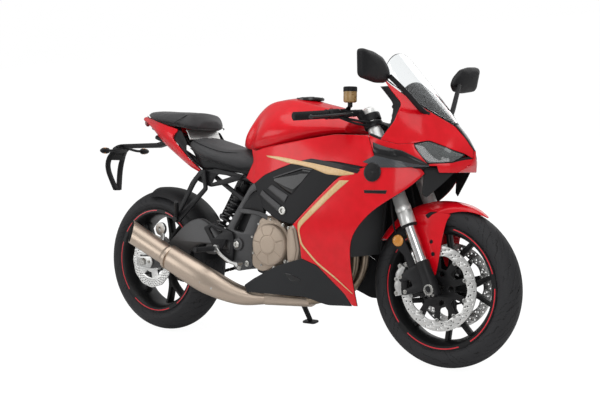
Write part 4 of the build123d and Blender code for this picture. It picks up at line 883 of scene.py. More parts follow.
share = linspace(0, 1, 24)
outer = lip * share
outer_r = 43 + 4 * outer / 262
inner = lip - 90 * linspace(0, 1, 12)
inner_r = np.broadcast_to(np.append(np.full(11, 43.5), 0.1), inner.shape)
skin = CAN_ROOT + outer[..., None] * OUTLET
skin = skin + outer_r[..., None] * (cos(angle)[..., None] * inward + sin(angle)[..., None] * upward)
bore = CAN_ROOT + inner[..., None] * OUTLET
bore = bore + inner_r[..., None] * (cos(angle)[..., None] * inward + sin(angle)[..., None] * upward)
lip_ring = concatenate((skin[:, -1:], bore[:, :1]), 1)
collar = [(40, -6), (52, -6), (53, -2), (53, 9), (49, 12), (46, 20), (44, 26), (40, 26)]
grids = [body, (skin, True, False), (lip_ring, True, False), turned(collar, CAN_ROOT, OUTLET, 60)]
piece("brushed_silencer", grids, brushed, "silencer")
soot = grained("sooted_steel", "exhaust_steel", "#151413", 2.0, (0.6, 0.8), bump=0.1, Metallic=0.5)
piece("silencer_bore", [(bore, True, False)], soot, closed=False)
rivet = [(0.1, -6), (7, -6), (7, 2), (5, 4), (0.1, 4)]
grids = [turned(rivet, place, (0.4, -0.9, -0.2), 24) for place in ((430, -247, 262), (478, -232, 240))]
boss = [(10, -10), (26, -10), (28, -8), (28, 4), (26, 6), (10, 6), (10, -10)]
grids += [
    turned(boss, (109, -156, 464), (0, -1, 0), 36),
    turned(plain_pin(11, -9, 0), (109, -156, 464), (0, -1, 0), 6),
    rail(through([(116, -156, 444), (132, -166, 424), (140, -188, 404)], 10), 12, 5, power=3, sides=16),
]
piece("silencer_hanger", grids, caliper_silver)

# The footrests and stand: forged aluminium plates and pegs, and a steel leg, all black.
# The rider's plates are open frames; the passenger's hang on V-shaped struts with folded pegs.
RIDER_PLATE = [(390, 485), (440, 505), (552, 470), (560, 430), (552, 352), (520, 340), (455, 385), (430, 430)]
PASSENGER_STRUT = [(180, 505), (286, 674), (338, 724), (366, 724), (378, 640), (214, 494)]
STRUT_WINDOW = [(226, 540), (306, 660), (338, 696), (350, 690), (358, 648)]
grids = []
struts = []
for side in (-1, 1):
    loops = [
        rounded(RIDER_PLATE, 12), rounded([(420, 480), (440, 490), (500, 470), (450, 440)], 6),
        rounded([(520, 440), (540, 430), (535, 380), (490, 395)], 6),
    ]
    grids.append(side_plate(loops, side * 184.3, 12, 2.5))
    peg = [(0.1, 0), (11, 0), (11, 3)]
    for ridge in range(14):
        y = 24 + ridge * 7
        peg += [(11, y), (9.4, y + 1.5), (9.4, y + 3.5), (11, y + 5)]
    peg += [(11, 126), (9, 129), (0.1, 129)]
    grids.append(turned(peg, (455, side * 181, 400), (0, side, 0), 24))
    struts.append(side_plate([rounded(PASSENGER_STRUT, 9), rounded(STRUT_WINDOW, 7)], side * 151, 10, 2.5))
    fold = array((58.0, side * 64, 78))
    rest = [(0.1, 0), (10, 0), (10, 10), (8, 12), (8, 18), (10, 20), (10, 100), (8, 112), (0.1, 113)]
    struts += [
        turned(rest, (200, side * 151, 512), fold, 20),
        turned(plain_pin(13, -14, 14), (200, side * 151, 512), (0, 1, 0), 20),
        rail(linspace((352, side * 124, 714), (352, side * 150, 714), 3), 8, deep=(0, 0, 1), sides=16),
    ]
piece("rider_rests", grids, cast_black, "rider_footrests")
piece("passenger_rests", struts, cast_black, "pillion_footrests")


def laid(corners, at, across, up, out):
    """A plate's corners carried to a place and summed along three directions from there."""
    return at + corners @ array((across, up, out), float)


stand_high = array(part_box("side_stand")[1])
FOOT_HALF_LONG, FOOT_HALF_WIDE, FOOT_T = 35, 22, 8
foot_parked = stand_high[:2] - (FOOT_HALF_LONG / 1000, FOOT_HALF_WIDE / 1000)
STAND_FOOT = REAR_AXLE + MACHINE @ (np.append(foot_parked, FOOT_T / 1000) - rear_hub) * 1000
road_up = MACHINE @ (0, 0, 1)
road_out = MACHINE @ (0, 1, 0)
path = through([STAND_PIVOT, STAND_PIVOT * 0.5 + STAND_FOOT * 0.5 + (4, 6, 6), STAND_FOOT], 20)
grids = [
    rail(path, linspace(13, 10, 20), linspace(13, 10, 20), deep=stand_axis, power=2.6, sides=20),
    turned(plain_pin(16, -13, 13), STAND_PIVOT, stand_axis, 28),
]
foot = [
    (-FOOT_HALF_LONG, -FOOT_HALF_WIDE), (-FOOT_HALF_LONG, FOOT_HALF_WIDE), (FOOT_HALF_LONG, FOOT_HALF_WIDE),
    (FOOT_HALF_LONG, -FOOT_HALF_WIDE),
]
corners, faces = cut_plate([rounded(foot, 16)], FOOT_T, 2)
grids.append((laid(corners - (0, 0, FOOT_T / 2), STAND_FOOT, (1, 0, 0), road_out, road_up), faces))
piece("stand_leg", grids, cast_black, "side_stand", body="stand")

# The front fork: upside-down legs, wide anodised tubes above and hard-chromed tubes sliding below.
# A black rubber seal closes each joint; cast black feet hold the axle and the brake calipers.


def on_fork(up, ahead=0.0, y=0.0):
    """A point measured from the front axle: up along the fork, ahead across it and to the left."""
    return FRONT_AXLE + up * FORK_UP + ahead * FORK_AHEAD + (0, y, 0)


LEG_Y = 104
fork_silver = grained(
    "anodised_fork_tube", "fork_silver", "#E0E0DE", 2.5, (0.28, 0.4), tint=("#D8D8D6", "#E6E6E4"),
    Metallic=0.6,
)
fork_chrome = grained("hard_chrome", "fork_chrome", "#DADADA", 30.0, (0.1, 0.2), Metallic=1.0)
seal_rubber = grained(
    "ribbed_rubber", "grip_rubber", "#18181A", 1.5, (0.56, 0.74), bump=0.12, tint=("#141416", "#1F1F21"),
    Specular_IOR_Level=0.25,
)
OUTER_TUBE = [
    (22, 252), (28.5, 252), (29.5, 255), (29.5, 300), (28.6, 302), (28.6, 304), (29.5, 306), (29.5, 322),
    (27, 328), (27, 640), (26.2, 642), (26.2, 646), (27, 648), (27, 708), (25, 713), (0.1, 713),
]
SEAL = [(21, 243), (28, 243), (30, 246), (30, 250), (27, 253), (21, 253)]
CAP = [(0.1, 712), (18, 712), (18, 719), (15, 722), (0.1, 722)]
outer_tubes = []
inner_tubes = []
seals = []
for side in (-1, 1):
    leg = on_fork(0, 0, side * LEG_Y)
    outer_tubes += [turned(OUTER_TUBE, leg, FORK_UP, 48), turned(CAP, leg, FORK_UP, 6)]
    inner_tubes.append(turned(plain_pin(21, 68, 300), leg, FORK_UP, 40))
    seals.append(turned(SEAL, leg, FORK_UP, 40))
piece("fork_tubes", outer_tubes, fork_silver, "fork_outer_tubes", body="steering")
piece("fork_sliders", inner_tubes, fork_chrome, "fork_inner_tubes", body="steering")
piece("fork_seals", seals, seal_rubber, body="steering")
feet = []
clamps = []
for side in (-1, 1):
    leg = on_fork(0, 0, side * LEG_Y)
    stem = linspace(-31, 108, 24)[:, None] * FORK_UP + leg
    swell = interp(linspace(-31, 108, 24), (-31, -24, 0, 30, 60, 100, 108), (14, 25, 27, 26, 24, 24.5, 23))
    feet.append(rail(stem, swell, swell, power=2.6, sides=32))
    ears = [
        (-8, 96), (-30, 104), (-92, 92), (-112, 80), (-108, 64), (-66, 60), (-62, 36), (-108, 34), (-114, 16),
        (-40, 6), (-6, 4),
    ]
    loop = [FRONT_AXLE[[0, 2]] + up * FORK_UP[[0, 2]] + ahead * FORK_AHEAD[[0, 2]] for ahead, up in ears]
    feet.append(side_plate([rounded(loop, 9)], side * 104, 34, 4))
    eye = [(0.1, 128), (14, 128), (14, 131.5), (19, 131.5), (20, 130.5), (20, 118), (0.1, 118)]
    clamps.append(turned(eye, (FRONT_AXLE[0], 0, FRONT_AXLE[2]), (0, side, 0), 36))
    for up, ahead in ((-20, 20), (-22, 34)):
        clamps.append(bolt(on_fork(up, ahead - 26, side * 125), (0, side, 0), 4, 4))
clamps.append(rail(linspace(on_fork(0, 0, -130), on_fork(0, 0, 130), 4), 12, deep=(0, 0, 1), sides=28))
piece("cast_fork_feet", feet, cast_black, "fork_feet", body="steering")
piece("axle_and_rings", clamps, bolt_steel, "front_axle", body="steering")

# The yokes and stem: two cast aluminium plates that clamp both legs, on a steel steering stem.
# Painted black; the lower one is deeper, and a nut closes the stem on top.
HALF_YOKE = [
    (-76, 0), (-70, 26), (-38, 92), (-34, 122), (-16, 139), (12, 139), (30, 124), (36, 96), (18, 62), (6, 0),
]
grids = []
for up, thick in ((455, 30), (650, 22)):
    mirrored = [(ahead, -y) for ahead, y in HALF_YOKE[-2:0:-1]]
    corners, faces = cut_plate([rounded(HALF_YOKE + mirrored, 14)], thick, 3)
    grids.append((laid(corners, on_fork(up), FORK_AHEAD, (0, 1, 0), FORK_UP), faces))
grids += [
    turned(plain_pin(17, 440, 668), HEAD_BASE, FORK_UP, 32),
    turned(
        [(0.1, 661), (22, 661), (22, 671), (19, 674), (9, 674), (9, 668), (0.1, 668)], HEAD_BASE, FORK_UP, 6,
    ),
]
piece("clamped_yokes", grids, cast_black, "fork_yokes", body="steering")

# The front brakes: radial calipers in two halves bolted together, silver outside on black brackets.
# A rubber-covered hose runs up each leg to the lower yoke, and an amber reflector stands on the bracket.
silver_halves = []
black_halves = []
caliper_bolts = []
hoses = []
lenses = []
holders = []
for side in (-1, 1):
    for low, high, store in ((142, 174, silver_halves), (117, 144, black_halves)):
        inner = [polar(front_hub, low, radians(angle)) for angle in linspace(194, 151, 12)]
        wave = 2.5 * cos(linspace(0, 6 * pi, 25))
        outer = [polar(front_hub, high - 2.5 + w, radians(a)) for a, w in zip(linspace(151, 194, 25), wave)]
        for y, thick in ((76, 20), (48, 20)):
            store.append(side_plate([rounded(inner + outer, 3, 3)], side * y, thick, 4))
    bridge = [polar(front_hub, 162, radians(a)) for a in linspace(192, 153, 10)]
    bridge += [polar(front_hub, 171, radians(a)) for a in linspace(153, 192, 10)]
    silver_halves.append(side_plate([bridge], side * 62, 30, 1))
    for angle in (154, 172, 190):
        x, z = polar(front_hub, 166, radians(angle))
        caliper_bolts.append(bolt((x, side * 85.5, z), (0, side, 0), 5, 5))
    for ahead, up in ((-100, 84), (-102, 26)):
        caliper_bolts.append(bolt(on_fork(up, ahead, side * 120), (0, side, 0), 5.5, 6))
    places = [(-124, 77, 75), (-135, 84, 130), (-177, 84, 220), (-197, 78, 340)]
    route = [FRONT_AXLE + array(place) * (1, side, 1) for place in places] + [(1235.4, side * 60, 709)]
    hoses.append(rail(through(route, 50), 4, sides=12))
    for end in (route[0], route[-1]):
        silver = linspace(end, array(end) + (-3, side * 1.5, 14), 3)
        caliper_bolts.append(rail(silver, 5.5, sides=12))
    dish = [(0.1, 9), (8, 8.8), (16, 7.4), (20.5, 5), (22, 2), (22, 0), (0.1, 0)]
    spot = on_fork(212, -61, side * 112)
    lenses.append(turned(dish, spot, (0.15, side, 0), 40))
    leaf = [
        on_fork(up, ahead)[[0, 2]]
        for ahead, up in ((-84, 196), (-84, 228), (-40, 232), (-30, 160), (-28, 94), (-60, 90), (-58, 150))
    ]
    holders.append(side_plate([rounded(leaf, 12)], side * 108, 7, 1.5))
piece("caliper_halves", silver_halves, caliper_silver, "front_calipers", body="steering")
piece("caliper_brackets", black_halves + holders, cast_black, body="steering")
piece("caliper_bolts", caliper_bolts, bolt_steel, body="steering")
piece("covered_hoses", hoses, seal_rubber, "brake_hoses", body="steering")
amber, tree, shader = new_material(
    "amber_lens", "lamp_lens", "#E08A1E", Roughness=0.18, Coat_Weight=0.8, Transmission_Weight=0.15,
)
place = add_node(tree, "TexCoord")
cells = add_node(tree, "TexVoronoi", {"Vector": place.outputs["Object"]}, Scale=320.0)
facet = add_node(tree, "Bump", {"Height": cells.outputs["Distance"]}, Strength=0.5, Distance=0.001)
tree.links.new(facet.outputs["Normal"], shader.inputs["Normal"])
shade = add_node(tree, "ValToRGB", {"Fac": cells.outputs["Distance"]})
shade.color_ramp.elements[0].color = linear("#F0A93C")
shade.color_ramp.elements[1].color = linear("#C8761A")
tree.links.new(shade.outputs["Color"], shader.inputs["Base Color"])
piece("amber_reflectors", lenses, amber, body="steering")

# The front mudguard: one moulded shell over the tyre with long wings ahead of the fork legs.
# It is painted with the body and held by two dark screws in each wing.
red_paint = grained(
    "red_base_coat", "red_paint", "#DA0819", 40.0, (0.3, 0.38), tint=("#D40717", "#E00A1D"), Coat_Weight=0.6,
    Coat_Roughness=0.14, Specular_IOR_Level=0.1,
)
GUARD_R = 318
GUARD_HALF = 70
EDGE_DROP = 42
share = linspace(-1, 1, 49)
front_end = radians(57 + 27 * np.abs(share) ** 1.6)
rear_end = radians(150 - 8 * np.abs(share) ** 2)
step = linspace(0, 1, 90)[:, None]
angle = front_end + (rear_end - front_end) * step
nose = clip(1 - step / 0.16, 0, 1)
radius = GUARD_R - EDGE_DROP * np.abs(share) ** 2.8 - 6 * nose**2
half = GUARD_HALF * (1 - 0.12 * nose**2)
points = stack(
    (
        FRONT_AXLE[0] + radius * cos(angle), half * share * np.ones_like(angle),
        FRONT_AXLE[2] + radius * sin(angle),
    ),
    -1,
)
sheets = [points]
edge_r = GUARD_R - EDGE_DROP
arc = radians(linspace(118, 79, 40))
wing_top = stack((FRONT_AXLE[0] + edge_r * cos(arc), FRONT_AXLE[2] + edge_r * sin(arc)), -1)
wing_low = through([(1403, 350), (1412, 345), (1427, 348)], 40)
back_edge = through([wing_top[0], (1338, 490), (1374, 420), (1403, 350)], 48)[:, None]
front_edge = through([wing_top[-1], (1470, 540), (1452, 470), (1440, 400), (1427, 348)], 48)[:, None]
u = linspace(0, 1, 40)[None, :, None]
v = linspace(0, 1, 48)[:, None, None]
corners = (1 - u) * (1 - v) * wing_top[0] + u * (1 - v) * wing_top[-1]
corners = corners + (1 - u) * v * wing_low[0] + u * v * wing_low[-1]
xz = (1 - v) * wing_top + v * wing_low + (1 - u) * back_edge + u * front_edge - corners
bulge = GUARD_HALF + 5 * sin(pi * v[..., 0]) * sin(pi * u[..., 0]) - 5 * v[..., 0] ** 3
left = stack((xz[..., 0], bulge, xz[..., 1]), -1)
sheets += [left, left[::-1] * (1, -1, 1)]
piece("wing_mudguard", sheets, red_paint, "front_mudguard", body="steering", wall=3, edge=1.0)
grids = []
slots = []
for side in (-1, 1):
    for x, z in ((1412, 470), (1420, 425)):
        grids.append(bolt((x, side * 73, z), (0, side, 0), 5, 4))
    vent = [(1384, 566), (1404, 578), (1436, 580), (1412, 568), (1396, 552)]
    slots.append(side_plate([rounded(vent, 5)], side * 70.5, 3, 0.6))
piece("mudguard_screws", grids, cast_black, body="steering")
piece("mudguard_slots", slots, black_plastic, body="steering")

# The fuel tank: two deep-drawn steel halves seam-welded together, painted red under lacquer.
# Its rear flanks are pressed in for the rider's knees, and the cap is a machined ring with a hinged lid.


def along(table, x):
    """The columns of a table at x: cubic Hermite curves whose slopes are finite differences."""
    table = np.asarray(table, float)
    knots = table[:, 0]
    slopes = np.gradient(table[:, 1:], knots, axis=0)
    x = clip(x, knots.min(), knots.max())
    i = clip(np.searchsorted(knots, x) - 1, 0, len(knots) - 2)
    span = (knots[i + 1] - knots[i])[..., None]
    t = (x - knots[i])[..., None] / span
    start = (1 + 2 * t) * (1 - t) ** 2 * table[i, 1:] + t * (1 - t) ** 2 * span * slopes[i]
    return start + t**2 * (3 - 2 * t) * table[i + 1, 1:] + t**2 * (t - 1) * span * slopes[i + 1]


def body_form(table, rows=70, side=18, top=20, soft=3):
    """A closed body from sections along x: each side is the parabola through its low, middle and high
    points, the top an arc of that crown, the floor flat; every ring is then averaged with its neighbours."""
    table = np.asarray(table, float)
    at = linspace(table[0, 0], table[-1, 0], rows)
    low_y, low_z, mid_y, mid_z, high_y, high_z, crown = (c[:, None] for c in along(table, at).T)
    t = linspace(0, 1, side)
    weights = (1 - t) * (1 - 2 * t), 4 * t * (1 - t), t * (2 * t - 1)
    y = low_y * weights[0] + mid_y * weights[1] + high_y * weights[2]
    z = low_z * weights[0] + mid_z * weights[1] + high_z * weights[2]
    s = linspace(1, -1, top)[1:-1]
    floor = linspace(-1, 1, 12)[1:-1]
    ring_y = concatenate((y, high_y * s, -y[:, ::-1], low_y * floor), 1)
    ring_z = concatenate((z, high_z + crown * (1 - s**2), z[:, ::-1], low_z + 0 * floor), 1)
    for _ in range(soft):
        ring_y = (np.roll(ring_y, 1, 1) + 2 * ring_y + np.roll(ring_y, -1, 1)) / 4
        ring_z = (np.roll(ring_z, 1, 1) + 2 * ring_z + np.roll(ring_z, -1, 1)) / 4
    points = stack((np.broadcast_to(at[:, None], ring_y.shape), ring_y, ring_z), -1)
    middles = points.mean(1, keepdims=True)
    ends = []
    for row, out in ((0, -1), (-1, 1)):
        for share, reach in ((0.9, 2.0), (0.55, 4.0), (0.02, 4.5)):
            ring = middles[row] + (points[row] - middles[row]) * share + (out * reach, 0, 0)
            ends.append(ring)
    points = concatenate((stack(ends[2::-1]), points, stack(ends[3:])))
    return points, False, True


TANK = [
    # x, low y, low z, mid y, mid z, high y, high z, crown
    (515, 60, 812, 72, 832, 45, 850, 12),
    (560, 100, 806, 120, 855, 75, 905, 15),
    (640, 140, 800, 165, 870, 95, 975, 18),
    (740, 165, 812, 190, 890, 100, 997, 20),
    (880, 160, 838, 180, 900, 100, 975, 18),
    (1000, 135, 862, 150, 895, 95, 945, 12),
    (1060, 112, 868, 122, 890, 84, 916, 8),
]
points, round_rows, round_columns = body_form(TANK, 130, 44, 48, 6)
knee = np.exp(
    -(((points[..., 0] - 610) / 52) ** 2) - ((points[..., 2] - 868 - 0.9 * (points[..., 0] - 610)) / 46) ** 2
)
points[..., 1] *= 1 - 0.16 * knee
spine = np.exp(-((np.abs(points[..., 1]) - 84) / 14) ** 2) * clip((points[..., 2] - 900) / 40, 0, 1)
points[..., 2] += 2.5 * spine
piece("pressed_tank", [(points, False, True)], red_paint, "fuel_tank", crease=60)
CAP_AT = array((800.0, 0, 1010))
collar = [(46.6, -4), (56, -4), (57, 2), (56, 6), (49, 7.5), (46.6, 6.5), (46.6, -4)]
grids = [turned(collar, CAP_AT, (0, 0, 1), 72)]
for k in range(7):
    x, y = polar((800, 0), 52, radians(k * 360 / 7 + 12))
    grids.append(bolt((x, y, 1016), (0, 0, 1), 2.6, 2.2))
piece("filler_ring", grids, satin_black)
lid = [(0.1, 0), (45.6, 0), (46, 2), (45, 7), (43, 9), (30, 9), (28, 8), (26, 8), (24, 9), (0.1, 9)]
grids = [turned(lid, CAP_AT, (0, 0, 1), 72)]
key_cover = rounded([(782, -12), (818, -12), (818, 12), (782, 12)], 10)
corners, faces = cut_plate([key_cover], 4, 1)
grids.append((corners + (0, 0, 1020), faces))
piece("filler_lid", grids, satin_black, "fuel_cap", body="filler_cap")

# The side panels: injection-moulded plastic skins, base coat red under gloss lacquer, dark below.
# Each is one surface over the machine's side form, with rolled edges and a fine gap to its neighbour.
SIDE_FORM = [
    # x, low y, low z, mid y, mid z, high y, high z
    (640, 165, 200, 185, 500, 168, 800),
    (780, 168, 200, 212, 500, 185, 860),
    (920, 160, 200, 226, 540, 190, 900),
    (1060, 140, 200, 226, 560, 185, 900),
    (1200, 130, 200, 218, 620, 180, 900),
    (1320, 120, 300, 196, 700, 172, 900),
    (1440, 60, 400, 116, 720, 100, 860),
]


def flank(xz, table):
    """Half width of a form at (x, z): the parabola in z through its low, middle and high points."""
    x, z = xz[..., 0], xz[..., 1]
    low_y, low_z, mid_y, mid_z, high_y, high_z = np.moveaxis(along(table, x)[..., :6], -1, 0)
    low = (z - mid_z) * (z - high_z) / ((low_z - mid_z) * (low_z - high_z))
    mid = (z - low_z) * (z - high_z) / ((mid_z - low_z) * (mid_z - high_z))
    high = (z - low_z) * (z - mid_z) / ((high_z - low_z) * (high_z - mid_z))
    return low * low_y + mid * mid_y + high * high_y


def patch(top, ahead, bottom, behind, counts=(60, 26), soft=6):
    """Four edges filled by a Coons patch: blends of opposite edges less the blend of the corners.

    Top and bottom run forward, ahead and behind run down."""
    top, bottom = (edge_line(side, counts[0], soft)[None] for side in (top, bottom))
    ahead, behind = (edge_line(side, counts[1], soft)[:, None] for side in (ahead, behind))
    u = linspace(0, 1, counts[0])[None, :, None]
    v = linspace(0, 1, counts[1])[:, None, None]
    corners = (1 - u) * (1 - v) * top[:, :1] + u * (1 - v) * top[:, -1:]
    corners = corners + (1 - u) * v * bottom[:, :1] + u * v * bottom[:, -1:]
    return (1 - v) * top + v * bottom + (1 - u) * behind + u * ahead - corners


def both_sides(xz, half):
    """A sheet and its mirror image at plus and minus half, wound so that both face outwards."""
    left = stack((xz[..., 0], half, xz[..., 1]), -1)
    right = left[::-1] * (1, -1, 1)
    return [left, right]


grey_plastic = grained(
    "dark_grey_plastic", "grey_plastic", "#242527", 0.8, (0.42, 0.56), bump=0.1, tint=("#1F2022", "#2A2B2D"),
    Specular_IOR_Level=0.25,
)
gold_tape = grained(
    "gold_tape", "red_paint", "#D9B27A", 8.0, (0.3, 0.4), tint=("#D2AA72", "#DFBA85"), Coat_Weight=0.8,
)
black_tape = grained(
    "black_tape", "red_paint", "#1A1415", 8.0, (0.26, 0.36), Coat_Weight=0.3, Specular_IOR_Level=0.25,
)
gloss_black = grained(
    "gloss_black_plastic", "black_plastic", "#0E0E10", 12.0, (0.18, 0.28), tint=("#0B0B0D", "#131315"),
    Coat_Weight=0.35, Specular_IOR_Level=0.3,
)

COVER_EDGE = [(887, 516), (1099, 702), (1206, 740)]
TANK_EDGE = [(594, 692), (655, 666), (717, 704), (857, 747), (939, 764), (1080, 760), (1206, 740)]
BELLY_EDGE = [(919, 388), (991, 363), (1091, 259), (1113, 214)]
FAIRING_FRONT = [
    (1416, 718), (1378, 670), (1301, 618), (1241, 581), (1191, 532), (1154, 486), (1141, 441), (1138, 380),
    (1135, 215),
]
SIDE_PANELS = [
    # name, material, slot, top, ahead, bottom and behind edges
    (
        "side_fairing",
        red_paint,
        "red_paint",
        COVER_EDGE + [(1281, 756), (1405, 742), (1416, 718)],
        FAIRING_FRONT,
        BELLY_EDGE + [(1135, 215)],
        [(887, 516), (908, 497), (918, 439), (919, 388)],
    ),
    (
        "belly_pan",
        grey_plastic,
        "grey_plastic",
        [(602, 258), (650, 287), (791, 350), (919, 386), (991, 361), (1091, 257)],
        [(1091, 257), (1111, 213)],
        [(611, 230), (906, 236), (1004, 208), (1111, 213)],
        [(602, 258), (611, 230)],
    ),
    (
        "frame_cover",
        black_plastic,
        "black_plastic",
        [(664, 671), (717, 703), (857, 746), (939, 763), (1080, 759), (1199, 740)],
        [(1199, 740), (1190, 736)],
        [(715, 580), (801, 533), (887, 518), (1099, 704), (1190, 736)],
        [(664, 671), (715, 580)],
    ),
    (
        "tank_side_panel",
        red_paint,
        "red_tank",
        [(622, 808), (660, 800), (697, 812), (797, 826), (1060, 862), (1128, 860), (1208, 857)],
        [(1208, 857), (1250, 770), (1206, 741)],
        TANK_EDGE,
        [(622, 808), (642, 759), (594, 692)],
    ),
]
for name, material, slot, top, ahead, bottom, behind in SIDE_PANELS:
    xz = patch(top, ahead, bottom, behind, soft=3)
    half = flank(xz, SIDE_FORM)
    if name == "tank_side_panel":
        half = half * interp(xz[..., 0], (590, 660), (0.86, 1))
    piece(f"moulded_{name}", both_sides(xz, half), material, name, wall=3.5, edge=1.2)
    if name == "side_fairing":
        piece("fairing_liners", both_sides(xz, half - 5), black_plastic, wall=1.5)

STRIPES = [
    # name, material, how proud, upper edge, lower edge
    (
        "tank_stripe",
        gold_tape,
        0.7,
        [(724, 783), (801, 778), (864, 770), (907, 763), (977, 754), (1045, 742), (1113, 729), (1166, 718)],
        [(733, 777), (801, 765), (864, 751), (907, 747), (977, 734), (1046, 712), (1113, 707), (1166, 713)],
    ),
    (
        "fairing_stripe",
        gold_tape,
        0.7,
        [
            (1105, 690), (1044, 638), (962, 568), (913, 526), (911, 500), (921, 442), (988, 372), (1057, 321),
            (1128, 262),
        ],
        [
            (1147, 690), (1078, 636), (1004, 574), (929, 514), (919, 498), (929, 446), (993, 378),
            (1060, 327), (1128, 266),
        ],
    ),
    (
        "tank_band",
        black_tape,
        0.7,
        [(925, 763), (970, 771), (1015, 765), (1083, 752), (1149, 740), (1192, 731)],
        [(925, 761), (970, 756), (1015, 748), (1083, 735), (1149, 722), (1180, 716)],
    ),
    (
        "cover_scoop", gloss_black, 1.5, [(781, 694), (874, 717), (932, 732), (975, 726)],
        [(781, 683), (841, 649), (882, 630), (916, 666)],
    ),
    (
        "cover_scoop_rim", cast_grey, 2.2, [(778, 698), (874, 722), (934, 737), (982, 731)],
        [(781, 694), (874, 717), (932, 732), (975, 726)],
    ),
    ("cover_blade", cast_grey, 3.0, [(774, 668), (864, 628)], [(748, 652), (845, 600)]),
    ("cover_strut", cast_grey, 5.0, [(718, 645), (826, 588)], [(704, 626), (818, 562)]),
    (
        "frame_recess", black_plastic, 0.5, [(600, 574), (640, 622), (672, 640), (700, 632)],
        [(596, 570), (640, 566), (690, 560), (730, 552)],
    ),
    (
        "frame_rail", cast_grey, 1.5, [(578, 570), (640, 566), (700, 560), (752, 550)],
        [(590, 550), (640, 548), (700, 542), (750, 528)],
    ),
    (
        "belly_vent", gloss_black, 0.8, [(827, 326), (860, 324), (906, 306)],
        [(838, 312), (854, 294), (895, 296)],
    ),
    ("fairing_slot", gloss_black, 1.0, [(1210, 656), (1302, 657)], [(1213, 645), (1297, 644)]),
]
for name, material, proud, upper, lower in STRIPES:
    xz = stack((edge_line(upper, 80, 2), edge_line(lower, 80, 2)), 0)
    xz = stack([xz[0] + (xz[1] - xz[0]) * k for k in linspace(0, 1, 5)], 0)
    if xz[0, 0, 0] > xz[0, -1, 0]:
        xz = xz[:, ::-1]
    half = flank(xz, SIDE_FORM) + proud
    piece(name, both_sides(xz, half), material, wall=0.6 * proud)
grids = []
liners = []
for side in (-1, 1):
    y = float(flank(array((837.0, 569.0)), SIDE_FORM))
    grids += [
        turned(
            [(9, -4), (16, -4), (16, 6), (14, 8), (9, 8), (9, -4)], (837, side * y, 569), (0, side, 0), 36,
        ),
        turned(plain_pin(9.2, -4, 2), (837, side * y, 569), (0, side, 0), 6),
    ]
    loop = [(540, 476), (596, 576), (640, 640), (692, 662), (692, 590), (655, 556), (608, 464)]
    liners.append(side_plate([rounded(loop, 8)], side * 150, 4, 0.5))
piece("cover_ring_bolts", grids, bolt_steel)
piece("frame_window_liners", liners, black_plastic)

# The nose: a moulded cowl in two mirrored halves joined by a black strip down the middle.
# Smoked polycarbonate lamps sit in its cheeks, with a painted lip below them over a dark throat.
NOSE_FORM = [
    # x, low half, low z, mid half, mid z, top half, top z
    (1243, 192, 768, 200, 840, 148, 1066),
    (1320, 184, 766, 188, 830, 122, 1008),
    (1400, 162, 759, 166, 800, 80, 948),
    (1472, 112, 722, 116, 765, 17, 894),
    (1515, 72, 728, 77, 766, 13, 845),
    (1546, 6, 752, 8, 772, 5, 800),
]
NOSE_PANELS = [
    # name, top, ahead, bottom and behind edges in (x, z)
    (
        "nose_cowl",
        [(1243, 1062), (1255, 1056), (1320, 1005), (1400, 946), (1472, 892), (1515, 846), (1544, 802)],
        [(1544, 802), (1545, 788), (1545, 774)],
        [(1267, 840), (1335, 824), (1392, 828), (1432, 838), (1528, 792), (1545, 774)],
        [(1243, 1062), (1323, 972), (1312, 904), (1267, 840)],
    ),
    (
        "nose_cheek",
        [(1211, 858), (1267, 839), (1335, 823), (1390, 827)],
        [(1390, 827), (1394, 812), (1434, 752)],
        [(1208, 742), (1281, 758), (1405, 744), (1434, 752)],
        [(1211, 858), (1252, 770), (1208, 742)],
    ),
    (
        "nose_lip",
        [(1434, 752), (1506, 757), (1530, 768), (1545, 772)],
        [(1545, 772), (1544, 760), (1538, 750)],
        [(1430, 746), (1462, 746), (1466, 722), (1515, 722), (1538, 750)],
        [(1434, 752), (1432, 749), (1430, 746)],
    ),
]


def nose_skin(xz):
    """Half width at (x, z): the side form, blended into the nose form from x 1215 to 1275."""
    share = clip((xz[..., 0] - 1215) / 60, 0, 1)
    side = flank(xz, SIDE_FORM)
    return side + share * (flank(xz, NOSE_FORM) - side)


for name, top, ahead, bottom, behind in NOSE_PANELS:
    xz = patch(top, ahead, bottom, behind, soft=1)
    half = nose_skin(xz)
    stands_for = "nose_fairing" if name == "nose_cowl" else None
    piece(f"moulded_{name}", both_sides(xz, half), red_paint, stands_for, wall=3.5, edge=1.2)
NOSE_GAPS = [
    [(1212, 857), (1267, 839), (1335, 823), (1390, 827)],
    [(1390, 827), (1394, 812), (1434, 753)],
    [(1390, 826), (1432, 836), (1528, 790)],
    [(1434, 754), (1506, 760), (1545, 773)],
    [(1206, 741), (1281, 757), (1405, 744), (1434, 752)],
    [(1214, 850), (1250, 770), (1206, 741)],
]
sheets = []
for gap in NOSE_GAPS:
    line = edge_line(gap, 40, 2)
    run = np.gradient(line, axis=0)
    run /= np.linalg.norm(run, axis=1, keepdims=True)
    xz = line + stack((-run[:, 1], run[:, 0]), -1) * linspace(9, -9, 3)[:, None, None]
    sheets += both_sides(xz, nose_skin(xz) - 5)
piece("nose_seals", sheets, black_plastic, wall=1.5)
carbon, tree, shader = new_material(
    "woven_carbon", "black_plastic", "#3A3C3F", Roughness=0.34, Coat_Weight=0.3, Specular_IOR_Level=0.3,
)
place = add_node(tree, "TexCoord")
weave = add_node(
    tree, "TexChecker", {"Vector": place.outputs["Object"]}, Scale=260.0, Color1=linear("#2E3033"),
    Color2=linear("#4C4F53")
)
tree.links.new(weave.outputs["Color"], shader.inputs["Base Color"])
FIN_SPLIT = [(1249, 783), (1320, 768), (1390, 753), (1440, 747)]
